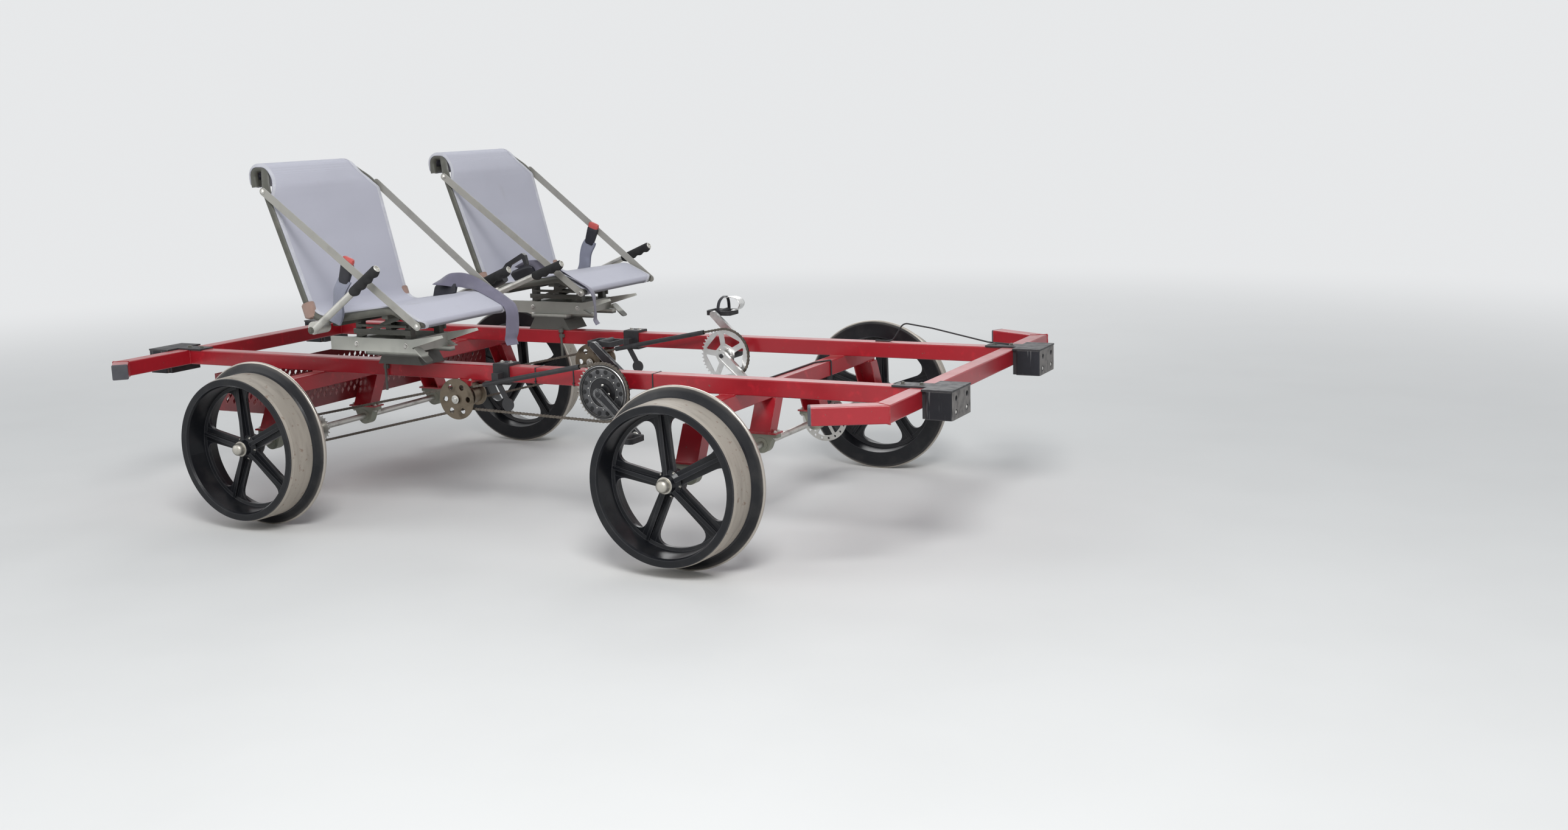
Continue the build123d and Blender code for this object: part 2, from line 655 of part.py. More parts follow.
    with BuildPart() as bracket:
        with Locations((HUB_X, rail_y, RAIL_Z0 - BRACKET_T / 2)):
            Box(64, 2 * CHEEK_OFFSET + CHEEK_T, BRACKET_T)
        for offset_y in (-CHEEK_OFFSET, CHEEK_OFFSET):
            with BuildSketch(side_plane(HUB_X, rail_y + offset_y, HUB_Z)):
                Circle(18)
                with Locations((0, RAIL_Z0 - HUB_Z - BRACKET_T / 2)):
                    Rectangle(60, BRACKET_T)
                make_hull()
            extrude(amount=CHEEK_T / 2, both=True)
        with Locations(across(HUB_X, rail_y - CHEEK_OFFSET, HUB_Z)):
            Cylinder(STUB_R + RUNNING_GAP, 2 * CHEEK_T, mode=Mode.SUBTRACT)
        pin_start = rail_y + CHEEK_OFFSET + CHEEK_T
        pin_end = ring_y - 20
        with Locations(across(HUB_X, (pin_start + pin_end) / 2, HUB_Z)):
            Cylinder(HUB_PIN_R, pin_start - pin_end)
    brackets.append(bracket.part)

    with BuildPart() as chains:
        chain(PRIMARY, ring_y)
        chain(SECONDARY, output_y)
    save(chains.part, f"chains_{side}")

    with BuildPart() as axle_sprocket:
        sprocket(AXLE_TEETH, (-AXLE_X, output_y, AXLE_Z))
        with Locations(across(-AXLE_X, output_y, AXLE_Z)):
            Cylinder(24, 30)
            Cylinder(AXLE_D / 2 + RUNNING_GAP, 30, mode=Mode.SUBTRACT)
    save(axle_sprocket.part, f"axle_sprocket_{side}")

with BuildPart() as bottom_brackets:
    add(shells)
save(bottom_brackets.part, "bottom_brackets")
with BuildPart() as hub_brackets:
    add(brackets)
save(hub_brackets.part, "hub_brackets")

# Clamps on the rails, with the tube that guards the upper run and the idler on the lower run
CLAMP_X = -25
CLAMP_LENGTH = 58
CLAMP_WALL = 8
GUIDE_R = 8
GUIDE_BORE_R = 6.3
GUIDE_RUN = (0.12, 0.80)  # share of the upper run that the tube covers, from the chainring end
IDLER_X = 20
IDLER_R = 20
IDLER_GAP = 0.5
ARM_X = CLAMP_X + 10
with BuildPart() as chain_guides:
    for side, sign in SIDES:
        y = sign * RAIL_Y
        ring_y = y - CHAIN_LINE
        clamp = TUBE + 2 * CLAMP_WALL
        with Locations((CLAMP_X, y, RAIL_Z)):
            Box(CLAMP_LENGTH, clamp, clamp)
        fillet(chain_guides.edges().filter_by(Axis.X).filter_by_position(
            Axis.Y, y - clamp, y + clamp), CLAMP_WALL / 2)
        with Locations((CLAMP_X, y, RAIL_Z)):
            Box(CLAMP_LENGTH, TUBE, TUBE, mode=Mode.SUBTRACT)
        top_start, top_end = tangent(*PRIMARY)
        run = Vector(top_end[0] - top_start[0], 0, top_end[1] - top_start[1])
        at = [Vector(top_start[0], ring_y, top_start[1]) + run * share for share in GUIDE_RUN]
        reach = (CLAMP_X - top_start[0]) / run.X
        tube_z = top_start[1] + reach * run.Z
        side_gap = y - TUBE / 2 - ring_y
        with Locations((CLAMP_X, ring_y + side_gap / 2, (tube_z + RAIL_Z) / 2)):
            Box(24, side_gap, abs(tube_z - RAIL_Z) + 2 * GUIDE_R)
        low_start, low_end = tangent(PRIMARY[1], PRIMARY[0], -CHAIN_HEIGHT / 2)
        share = (IDLER_X - low_start[0]) / (low_end[0] - low_start[0])
        idler_z = low_start[1] + share * (low_end[1] - low_start[1]) + IDLER_R + IDLER_GAP
        with Locations(across(IDLER_X, ring_y, idler_z)):
            Cylinder(IDLER_R, CHAIN_WIDTH)
        with BuildSketch(side_plane(0, ring_y + CHAIN_WIDTH / 2 + 2, 0)):
            with Locations((IDLER_X, idler_z), (ARM_X, RAIL_Z0)):
                Circle(9)
            make_hull()
        extrude(amount=2, both=True)
        with Locations((ARM_X, ring_y + side_gap / 2, RAIL_Z0)):
            Box(16, side_gap - 4, 8)
        bar(at, GUIDE_R)
        bar(at, GUIDE_BORE_R, mode=Mode.SUBTRACT)
save(chain_guides.part, "chain_guides")


# Seats
def offset_points(points, distance):
    """Shift a profile sideways by mitred corners; positive is to the left of travel."""
    shifted = []
    for i, (x, z) in enumerate(points):
        before = points[max(i - 1, 0)]
        after = points[min(i + 1, len(points) - 1)]
        headings = []
        if i > 0:
            headings.append(Vector(x - before[0], z - before[1], 0).normalized())
        if i < len(points) - 1:
            headings.append(Vector(after[0] - x, after[1] - z, 0).normalized())
        mean = sum(headings[1:], headings[0]).normalized()
        reach = distance / mean.dot(headings[0])
        shifted.append((x - reach * mean.Y, z + reach * mean.X))
    return shifted


SEAT_HALVES = (SEAT_HALF_BASE, SEAT_HALF_BASE, SEAT_HALF_BASE, SEAT_HALF_SHOULDER,
               SEAT_HALF_TOP, SEAT_HALF_TOP, SEAT_HALF_TOP)
SEAT_BENDS = [45, 70, 60, 26, 26]
SEAT_TURNS = [1, -1, 1, 1, 1]    # 1 where the sling side is outside the bend
SLING_GAP = 0.7
SLING_T = 4
CROSS_TUBES = ((0, 1, 0.06), (1, 2, 0.5), (2, 3, 0.3), (5, 6, 0.8))  # run's ends and share
CROSS_TUBE_R = SEAT_TUBE_R - 1.5
PLATE_TOP = 600
PLATE_Y = 480
SEAT_LEGS = (-455, -262)
LEG_BAR = 22
LEG_SPREAD = 70
shoulder_z = SEAT_PROFILE[3][1]
base_z = SEAT_PROFILE[2][1]
crown_x, crown_z = SEAT_PROFILE[4]

# Seat slides: shaped side plates, two lower bars and a saddle on the main rail
SLIDE_REAR = -560
SLIDE_FRONT = -130
SLIDE_HALF = 95          # from the slide's centre to each side plate
SLIDE_PLATE = 12
SLIDE_DEPTH = 42
SLIDE_OUTER_Y = 475      # outer face of the saddle
BAR_TOP = PLATE_TOP - SLIDE_DEPTH
BAR_HEIGHT = 14
BAR_X = (-430, -210)
BAR_WIDTH = 24
BAR_Y = SLIDE_HALF * 0.7
SADDLE_X = (-460, -285)


def sling_line(distance):
    """The side tube's profile moved out by the distance, bends included."""
    bends = [bend + turn * distance for bend, turn in zip(SEAT_BENDS, SEAT_TURNS)]
    return FilletPolyline(*offset_points(SEAT_PROFILE, -distance), radius=bends)


for side, sign in SIDES:
    centre = sign * SEAT_Y
    with BuildPart() as seat_frame:
        for tube_sign in (-1, 1):
            path = [(x, centre + tube_sign * half, z)
                    for (x, z), half in zip(SEAT_PROFILE, SEAT_HALVES)]
            bar(path, SEAT_TUBE_R, SEAT_BENDS)
        for first, second, share in CROSS_TUBES:
            (x0, z0), (x1, z1) = SEAT_PROFILE[first], SEAT_PROFILE[second]
            half = SEAT_HALVES[first] + share * (SEAT_HALVES[second] - SEAT_HALVES[first])
            with Locations(across(x0 + share * (x1 - x0), centre, z0 + share * (z1 - z0))):
                Cylinder(CROSS_TUBE_R, 2 * half)
        for leg_x in SEAT_LEGS:
            (x0, z0), (x1, z1) = SEAT_PROFILE[1], SEAT_PROFILE[2]
            bar_z = z0 + (leg_x - x0) * (z1 - z0) / (x1 - x0) - SEAT_TUBE_R
            with Locations((leg_x, centre, bar_z)):
                Box(LEG_BAR, 2 * SEAT_HALF_BASE - 6, LEG_BAR)
            for leg_sign in (-1, 1):
                leg_y = sign * PLATE_Y + leg_sign * LEG_SPREAD
                with Locations((leg_x, leg_y, (PLATE_TOP + bar_z) / 2)):
                    Box(LEG_BAR, LEG_BAR, bar_z - PLATE_TOP)
    save(seat_frame.part, f"seat_frame_{side}")

    with BuildPart() as sling:
        with BuildSketch(side_plane(0, centre, 0)):
            with BuildLine():
                low = sling_line(SEAT_TUBE_R + SLING_GAP)
                high = sling_line(SEAT_TUBE_R + SLING_GAP + SLING_T)
                Line(low @ 0, high @ 0)
                Line(low @ 1, high @ 1)
            make_face()
        extrude(amount=SEAT_HALF_SHOULDER, both=True)
        with BuildSketch(Plane(origin=(-400, centre, 0), x_dir=(0, 1, 0), z_dir=(1, 0, 0))):
            half_outline = [(SEAT_HALF_BASE, base_z - 60), (SEAT_HALF_BASE, base_z + 40),
                            (SEAT_HALF_SHOULDER, shoulder_z), (SEAT_HALF_TOP, crown_z),
                            (SEAT_HALF_TOP, crown_z + 60)]
            Polygon(*half_outline, *[(-y, z) for y, z in reversed(half_outline)], align=None)
        extrude(amount=500, both=True, mode=Mode.INTERSECT)
        spare = SEAT_HALF_SHOULDER - SEAT_HALF_TOP
        for edge_sign in (-1, 1):
            with Locations((crown_x - 125, centre + edge_sign * (SEAT_HALF_TOP + spare / 2), crown_z)):
                Box(200, spare, 240, mode=Mode.SUBTRACT)
    save(sling.part, f"seat_sling_{side}")

    with BuildPart() as slide:
        with BuildSketch(side_plane(0, sign * PLATE_Y, 0)):
            with BuildLine():
                Polyline((SLIDE_REAR, PLATE_TOP), (SLIDE_FRONT - 110, PLATE_TOP),
                         (SLIDE_FRONT, PLATE_TOP + 16), (SLIDE_FRONT + 4, PLATE_TOP + 8),
                         (SLIDE_FRONT - 110, PLATE_TOP - 26), (BAR_X[1], BAR_TOP),
                         (SLIDE_REAR, BAR_TOP), close=True)
            make_face()
        extrude(amount=SLIDE_HALF, both=True)
        with Locations(((SLIDE_REAR + SLIDE_FRONT) / 2, sign * PLATE_Y, PLATE_TOP)):
            Box(SLIDE_FRONT - SLIDE_REAR + 40, 2 * (SLIDE_HALF - SLIDE_PLATE), 4 * SLIDE_DEPTH,
                mode=Mode.SUBTRACT)
        for leg_x in SEAT_LEGS:
            with Locations((leg_x, sign * PLATE_Y, PLATE_TOP - SLIDE_DEPTH / 2)):
                Box(2 * LEG_BAR, 2 * SLIDE_HALF, SLIDE_DEPTH)
        for bar_sign in (-1, 1):
            with Locations((sum(BAR_X) / 2, sign * PLATE_Y + bar_sign * BAR_Y,
                            BAR_TOP - BAR_HEIGHT / 2)):
                Box(BAR_X[1] - BAR_X[0], BAR_WIDTH, BAR_HEIGHT)
        saddle_top = BAR_TOP - BAR_HEIGHT
        saddle_inner = RAIL_Y - TUBE / 2
        with BuildSketch(side_plane(0, sign * SLIDE_OUTER_Y, 0)):
            with BuildLine():
                Polyline((SADDLE_X[0], RAIL_Z1), (SADDLE_X[1], RAIL_Z1), (SADDLE_X[1] - 25, saddle_top),
                         (SADDLE_X[0] + 25, saddle_top), close=True)
            make_face()
        extrude(amount=sign * (SLIDE_OUTER_Y - saddle_inner))
        deck_outer = PLATE_Y + BAR_Y
        with Locations((sum(SADDLE_X) / 2, sign * (saddle_inner + deck_outer) / 2,
                        saddle_top + BAR_HEIGHT / 2)):
            Box(150, deck_outer - saddle_inner, BAR_HEIGHT)
    save(slide.part, f"seat_slide_{side}")

# Flat stays from the shoulders of each backrest to the front corners of the seat
STAY_WIDTH = 24
STAY_T = 3
with BuildPart() as stays:
    for side, sign in SIDES:
        for stay_sign in (-1, 1):
            spots = []
            for index in (3, 0):
                px, pz = SEAT_PROFILE[index]
                out = SEAT_HALVES[index] + SEAT_TUBE_R + STAY_T / 2 + 0.3
                spots.append(Vector(px, sign * SEAT_Y + stay_sign * out, pz))
            along = spots[1] - spots[0]
            level = along.cross(Vector(0, 1, 0)).cross(along)
            with BuildSketch(Plane(origin=(spots[0] + spots[1]) * 0.5, x_dir=along, z_dir=level)):
                SlotCenterToCenter(along.length, STAY_WIDTH)
            extrude(amount=STAY_T / 2, both=True)
save(stays.part, "seat_stays")

# Handles beside each seat.  Each row: side sign, inboard or outboard sign, x and z of the tip
HANDLE_FOOT = (-480, 642)
HANDLE_ROWS = ((-1, -1, -222, 832), (-1, 1, -170, 772), (1, -1, -170, 762), (1, 1, -170, 772))
HANDLE_R = 11
GRIP_R = 16
GRIP_LENGTH = 120
GRIP_END = 6
HANDLE_Y = SEAT_HALF_SHOULDER + 42
PIVOT_R = 20
PIVOT_RISE = 8


def handle_line(row):
    """Foot and tip of a handle, and the unit vector between them."""
    sign, handle_sign, tip_x, tip_z = row
    y = sign * SEAT_Y + handle_sign * HANDLE_Y
    foot = Vector(HANDLE_FOOT[0], y, HANDLE_FOOT[1])
    tip = Vector(tip_x, y, tip_z)
    return foot, tip, (tip - foot).normalized()


with BuildPart() as grips:
    for row in HANDLE_ROWS:
        foot, tip, along = handle_line(row)
        start = tip - along * GRIP_LENGTH
        end_cap = tip + along * GRIP_END
        bar([start, end_cap], GRIP_R)
        with BuildSketch(Plane(origin=start, z_dir=along)):
            Circle(HANDLE_R)
        extrude(amount=GRIP_LENGTH, mode=Mode.SUBTRACT)
save(grips.part, "grips")
with BuildPart() as handles:
    for row in HANDLE_ROWS:
        foot, tip, along = handle_line(row)
        bar([foot, tip], HANDLE_R)
        y_in = row[0] * SEAT_Y + row[1] * (SEAT_HALF_BASE + SEAT_TUBE_R + 0.3)
        with Locations(across(foot.X, (foot.Y + y_in) / 2, foot.Z + PIVOT_RISE)):
            Cylinder(PIVOT_R, abs(foot.Y - y_in))
save(handles.part, "handles")

# Brake lever clamped on the right seat's inboard handle
LEVER_ALONG = 135          # from the handle's tip back to the clamp
LEVER_INBOARD = 68
HOOD_SIZE = (34, 44)
HOOD_BACK = 22
HOOD_LENGTH = 88
foot, tip, along = handle_line(HANDLE_ROWS[1])
clamp_at = tip - along * LEVER_ALONG
body_plane = Plane(origin=clamp_at, x_dir=(0, 1, 0), z_dir=along)
with BuildPart() as brake_lever:
    with BuildSketch(body_plane):
        Circle(HANDLE_R + 6)
        with Locations((LEVER_INBOARD / 2, 0)):
            Rectangle(LEVER_INBOARD, 16)
        Circle(HANDLE_R, mode=Mode.SUBTRACT)
    extrude(amount=9, both=True)
    for offset_along, scale in ((-HOOD_BACK, 0.8), (HOOD_LENGTH / 2 - HOOD_BACK, 1),
                                (HOOD_LENGTH - HOOD_BACK, 0.86)):
        with BuildSketch(body_plane.offset(offset_along)):
            with Locations((LEVER_INBOARD, 0)):
                RectangleRounded(HOOD_SIZE[0] * scale, HOOD_SIZE[1] * scale, 8)
    loft()
    with BuildSketch(Plane(origin=clamp_at + Vector(0, LEVER_INBOARD, 0), x_dir=along,
                           z_dir=(0, -1, 0))) as blade:
        Polygon((50, 12), (96, 34), (170, 41), (178, 30), (173, -2), (162, -2), (163, 26),
                (108, 22), (66, -8), align=None)
        fillet(blade.vertices(), 3)
    extrude(amount=7, both=True)
save(brake_lever.part, "brake_lever")

# Brake cable along the right main rail and the front beam, and the cable to the left bumper strap
CABLE_R = 2.5
SEAT_GAP = 0.2
cable_y = -RAIL_Y + TUBE / 2 + CLAMP_WALL + CABLE_R + SEAT_GAP
beam_x = AXLE_X
cable_start = clamp_at + Vector(0, LEVER_INBOARD, 0) - along * (HOOD_BACK + SEAT_GAP)
top_z = BEAM_Z0 + TUBE + CABLE_R + SEAT_GAP
front_x = beam_x + TUBE / 2 + CABLE_R + SEAT_GAP
cable_end = CALIPER_Z + 27 + SEAT_GAP
brake_path = [
    cable_start, cable_start - along * 70, (-420, -330, 590), (-360, cable_y, 482),
    (620, cable_y, 482), (beam_x - 10, -250, top_z), (beam_x - 4, DISC_Y - 60, top_z),
    (front_x, DISC_Y, top_z), (front_x, DISC_Y, cable_end),
]
strap_z = RAIL_Z1 + BUMPER_TOP_PLATE + CABLE_R + SEAT_GAP
strap_x = FRAME_LENGTH / 2 - STRAP_LENGTH
tow_path = [
    (900, RAIL_Y, RAIL_Z1 + CABLE_R + SEAT_GAP), (960, RAIL_Y, RAIL_Z1 + CABLE_R + SEAT_GAP),
    (1000, RAIL_Y, 566), (1100, RAIL_Y, 552), (strap_x, RAIL_Y, strap_z + 4),
    (strap_x + 70, RAIL_Y, strap_z),
]
with BuildPart() as cables:
    bar(brake_path, CABLE_R, [30, 30, 25, 40, 30, 20, 6])
    bar(tow_path, CABLE_R, 25)
save(cables.part, "brake_cables")

# Levers of the seat slides, and a post with a round head beside each rail
PADDLE = (64, 34)
PADDLE_T = 4
PADDLE_X = -203
POST_R = 4
POST_HEAD_R = 9
POST_ROWS = ((-1, 1, -478), (1, -1, -317))     # side, outboard or inboard, x
POST_LENGTH = 96
with BuildPart() as levers:
    for side, sign in SIDES:
        with BuildSketch(Plane(origin=(PADDLE_X, sign * (PLATE_Y + SLIDE_HALF - SLIDE_PLATE / 2),
                                       BAR_TOP - 6), x_dir=(1, 0, -0.9), z_dir=(0.9, 0, 1))):
            RectangleRounded(*PADDLE, 8)
        extrude(amount=PADDLE_T)
    for sign, out_sign, post_x in POST_ROWS:
        face_y = sign * (RAIL_Y + out_sign * TUBE / 2)
        post_y = face_y + sign * out_sign * POST_HEAD_R
        with Locations((post_x, post_y, RAIL_Z1)):
            Cylinder(POST_HEAD_R, 14)
        with Locations((post_x, post_y, RAIL_Z1 - POST_LENGTH / 2)):
            Cylinder(POST_R, POST_LENGTH)
        with Locations((post_x, (post_y + face_y) / 2, RAIL_Z1 - 20)):
            Box(2 * POST_HEAD_R, POST_HEAD_R, 12)
save(levers.part, "seat_levers")

# Belt buckles on stalks, and the webbing that lies over the seat and hangs at its front
STALK_T = 8
BUCKLE_T = 12
BUCKLE_FOOT = (-440, 660)
BUCKLE_TIP = (-372, 842)
with BuildPart() as buckles:
    for side, sign in SIDES:
        y = sign * (SEAT_Y + SEAT_HALF_BASE + SEAT_TUBE_R + STALK_T / 2 + 0.3)
        along = Vector(BUCKLE_TIP[0] - BUCKLE_FOOT[0], 0, BUCKLE_TIP[1] - BUCKLE_FOOT[1])
        foot = Vector(BUCKLE_FOOT[0], y, BUCKLE_FOOT[1])
        with BuildSketch(Plane(origin=foot, x_dir=(0, 1, 0), z_dir=along)):
            RectangleRounded(STALK_T, 28, 3)
        extrude(amount=along.length * 0.6)
        with BuildSketch(Plane(origin=foot + along * 0.6, x_dir=(0, 1, 0), z_dir=along)):
            RectangleRounded(BUCKLE_T, 38, 5)
        extrude(amount=along.length * 0.36)
save(buckles.part, "belt_buckles")

BELT_WIDTH = 46
BELT_T = 3
BELT_INSET = 22
BELT_REAR = 150
BELT_END_Z = 550
LIP_SPARE = 0.12         # share of the front run by which the belt clears the lip
over = offset_points(SEAT_PROFILE[:3], -(SEAT_TUBE_R + SLING_GAP + SLING_T + BELT_T / 2 + 0.3))
ridge, lip_end, back = (Vector(x, z, 0) for x, z in (over[1], over[0], over[2]))
lip = lip_end + (lip_end - ridge) * LIP_SPARE
rear = ridge + (back - ridge).normalized() * BELT_REAR
with BuildPart() as webbing:
    for sign in (-1, 1):
        with BuildSketch(side_plane(0, sign * (SEAT_Y - SEAT_HALF_BASE + BELT_INSET), 0)):
            with BuildLine():
                FilletPolyline((rear.X, rear.Y), (ridge.X, ridge.Y), (lip.X, lip.Y),
                               (lip.X - 8, BELT_END_Z),
                               radius=[SEAT_BENDS[0] + SEAT_TUBE_R + SLING_GAP + SLING_T + BELT_T, 12])
            trace(line_width=BELT_T)
        extrude(amount=BELT_WIDTH / 2, both=True)
save(webbing.part, "belt_webbing")
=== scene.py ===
import json
from itertools import product
from math import acos, asin, atan2, copysign, cos, hypot, pi, radians, sin, sqrt, tan

import bmesh
import bpy
from mathutils import Matrix, Vector


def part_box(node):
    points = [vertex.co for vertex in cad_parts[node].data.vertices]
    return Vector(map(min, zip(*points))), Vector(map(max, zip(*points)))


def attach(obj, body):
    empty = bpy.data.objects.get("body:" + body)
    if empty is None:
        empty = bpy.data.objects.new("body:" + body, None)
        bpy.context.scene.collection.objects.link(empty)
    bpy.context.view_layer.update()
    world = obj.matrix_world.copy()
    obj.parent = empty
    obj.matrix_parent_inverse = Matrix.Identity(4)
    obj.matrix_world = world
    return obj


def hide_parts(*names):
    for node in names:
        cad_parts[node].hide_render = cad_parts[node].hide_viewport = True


# Pedal rail bike with two seats, in metres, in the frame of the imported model.
# +X points forward, +Y to the left, +Z up.

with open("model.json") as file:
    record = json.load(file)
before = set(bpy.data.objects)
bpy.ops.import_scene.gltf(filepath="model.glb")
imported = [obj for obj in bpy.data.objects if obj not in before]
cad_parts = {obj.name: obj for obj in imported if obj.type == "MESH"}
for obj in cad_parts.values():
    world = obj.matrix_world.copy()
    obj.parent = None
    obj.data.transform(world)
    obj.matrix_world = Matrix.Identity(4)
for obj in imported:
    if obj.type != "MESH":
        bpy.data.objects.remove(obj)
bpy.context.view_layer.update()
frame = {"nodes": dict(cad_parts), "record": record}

SIDES = (("right", -1), ("left", 1))
ENDS = (("front", 1), ("rear", -1))
BOTH = (-1, 1)
X_AXIS, Y_AXIS, Z_AXIS = Vector((1, 0, 0)), Vector((0, 1, 0)), Vector((0, 0, 1))


# Places worked out from the frame
def middle(node):
    low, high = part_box(node)
    return (Vector(low) + Vector(high)) / 2


AXLE = {end: middle(f"axle_{end}") for end, _ in ENDS}
FLANGE_R = AXLE["front"].z
RAIL = {side: middle(f"main_rail_{side}") for side, _ in SIDES}
RAIL_LOW, RAIL_TOP = (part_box("main_rail_right")[i][2] for i in (0, 1))
TUBE = RAIL_TOP - RAIL_LOW
CRANK = {side: middle(f"chainring_{side}") for side, _ in SIDES}
SEAT_Y = middle("seat_frame_left").y


# Materials
class Graph:
    """Node tree with short ways to add and link nodes."""

    def __init__(self, tree):
        self.tree = tree

    def node(self, kind, inputs=(), **settings):
        made = self.tree.nodes.new(kind)
        for key, value in settings.items():
            setattr(made, key, value)
        for key, value in dict(inputs).items():
            self.set(made, key, value)
        return made

    def feed(self, target, value):
        if isinstance(value, bpy.types.NodeSocket):
            self.tree.links.new(value, target)
        else:
            target.default_value = value

    def set(self, node, socket, value):
        self.feed(node.inputs[socket], value)

    def math(self, operation, first, second=0.0):
        made = self.node("ShaderNodeMath", {0: first, 1: second}, operation=operation)
        return made.outputs[0]

    def times(self, first, second):
        return self.math("MULTIPLY", first, second)


class Finish(Graph):
    """One procedural material, built from a few layers of noise over the shader."""

    def __init__(self, name, color, roughness, metallic=0.0, **sockets):
        self.material = bpy.data.materials.new(name)
        self.material.use_nodes = True
        super().__init__(self.material.node_tree)
        self.shader = self.tree.nodes["Principled BSDF"]
        self.set(self.shader, "Base Color", (*color, 1))
        self.set(self.shader, "Roughness", roughness)
        self.set(self.shader, "Metallic", metallic)
        for key, value in sockets.items():
            self.set(self.shader, key.replace("_", " "), value)
        self.place = self.node("ShaderNodeTexCoord").outputs["Object"]

    def noise(self, scale, detail=3.0, stretch=(1, 1, 1), distortion=0.0):
        """Cloudy value from 0 to 1; stretch scales the pattern along each axis."""
        place = self.node("ShaderNodeMapping", {"Vector": self.place, "Scale": stretch})
        made = self.node("ShaderNodeTexNoise", {"Vector": place.outputs[0], "Scale": scale,
                                                "Detail": detail, "Distortion": distortion})
        return made.outputs["Fac"]

    def patches(self, low, high, *pattern):
        """Cloudy mask: 0 where the noise is below low, 1 above high."""
        return self.band(self.noise(*pattern), low, high)

    def band(self, value, low, high):
        """0 below low, 1 above high, smooth between."""
        made = self.node("ShaderNodeMapRange", {"Value": value, "From Min": low, "From Max": high},
                         interpolation_type="SMOOTHSTEP")
        return made.outputs[0]

    def between(self, value, low, high, soft):
        """1 from low to high, falling to 0 over the soft distance."""
        return self.times(self.band(value, low - soft, low + soft),
                          self.band(value, high + soft, high - soft))

    def axis(self, letter):
        return self.node("ShaderNodeSeparateXYZ", {0: self.place}).outputs[letter]

    def facing(self, letter="Z"):
        """How far the surface faces along an axis, from -1 to 1."""
        normal = self.node("ShaderNodeNewGeometry").outputs["Normal"]
        return self.node("ShaderNodeSeparateXYZ", {0: normal}).outputs[letter]

    def radius_from(self, centre):
        """Distance from the line through the centre along Y."""
        across = self.math("SUBTRACT", self.axis("X"), centre.x)
        rise = self.math("SUBTRACT", self.axis("Z"), centre.z)
        return self.math("SQRT", self.math("ADD", self.times(across, across),
                                           self.times(rise, rise)))

    def edges(self, radius=0.004, low=0.04, high=0.16):
        """1 on outside edges and corners, where paint rubs through."""
        bevel = self.node("ShaderNodeBevel", {"Radius": radius}, samples=4)
        normal = self.node("ShaderNodeNewGeometry").outputs["Normal"]
        dot = self.node("ShaderNodeVectorMath", {0: bevel.outputs[0], 1: normal},
                        operation="DOT_PRODUCT")
        return self.band(self.math("SUBTRACT", 1.0, dot.outputs["Value"]), low, high)

    def mixed(self, kind, mask, first, second):
        """Output of a mix node: first where the mask is 0, second where it is 1."""
        made = self.node("ShaderNodeMix", data_type=kind)
        self.set(made, "Factor", mask)
        wanted = "VALUE" if kind == "FLOAT" else "RGBA"
        pair = [s for s in made.inputs if s.type == wanted and s.name in ("A", "B")]
        for socket, value in zip(pair, (first, second)):
            self.feed(socket, value)
        return [s for s in made.outputs if s.type == wanted][0]

    def current(self, socket):
        links = self.shader.inputs[socket].links
        return links[0].from_socket if links else self.shader.inputs[socket].default_value

    def paint(self, mask, color, amount=None):
        """Blend the colour over what is there, where the mask (times amount) is 1."""
        if amount is not None:
            mask = self.times(mask, amount)
        mix = self.mixed("RGBA", mask, self.current("Base Color"), (*color, 1))
        self.set(self.shader, "Base Color", mix)
        return self

    def blend(self, socket, mask, value):
        """Blend a value into a shader socket where the mask is 1."""
        self.set(self.shader, socket, self.mixed("FLOAT", mask, self.current(socket), value))
        return self

    def bump(self, height, depth):
        """Raise the surface by height, depth in metres."""
        inputs = {"Height": height, "Distance": depth, "Strength": 1.0}
        if self.shader.inputs["Normal"].links:
            inputs["Normal"] = self.shader.inputs["Normal"].links[0].from_socket
        made = self.node("ShaderNodeBump", inputs)
        self.set(self.shader, "Normal", made.outputs[0])
        return self


def placed(name, data):
    """New object in the scene."""
    made = bpy.data.objects.new(name, data)
    bpy.context.collection.objects.link(made)
    return made


def swung(out, across, turn):
    """Direction turned from out towards across."""
    return out * cos(turn) + across * sin(turn)


def shade(color, factor):
    return tuple(min(1.0, part * factor) for part in color)


def gloss_paint(name, color, dust=(0.40, 0.33, 0.27)):
    """Coated tube: slight colour drift, dust on top faces, orange peel, rubbed edges and chips."""
    made = Finish(name, color, 0.34, Coat_Weight=0.25, Coat_Roughness=0.15)
    made.paint(made.patches(0.4, 0.75, 4, 4), shade(color, 0.74))
    made.paint(made.patches(0.56, 0.74, 38, 5), shade(color, 1.22))
    top = made.band(made.facing(), 0.4, 0.95)
    grime = made.times(top, made.patches(0.36, 0.85, 14, 6))
    made.paint(grime, dust, 0.30)
    drip = made.patches(0.60, 0.85, 26, 6, (1, 1, 0.2))
    made.paint(drip, shade(color, 0.45), 0.35)
    worn = made.times(made.edges(), made.patches(0.45, 0.62, 70, 4))
    made.paint(worn, (0.45, 0.20, 0.17), 0.55)
    made.paint(made.patches(0.735, 0.75, 120, 2), (0.16, 0.09, 0.07))
    made.blend("Roughness", grime, 0.6)
    made.bump(made.noise(420, 2), 0.00006)
    return made.material


def worn_steel(name, color, roughness=0.34, amount=0.6, grime=(0.10, 0.085, 0.07)):
    """Bare or plated steel with brushed streaks and grime in patches."""
    made = Finish(name, color, roughness, 1.0)
    made.paint(made.patches(0.45, 0.8, 22, 6), grime, amount)
    made.blend("Roughness", made.patches(0.3, 0.8, 60, 4, (1, 6, 1)), roughness + 0.22)
    made.bump(made.noise(300, 3, (1, 8, 1)), 0.00005)
    return made.material


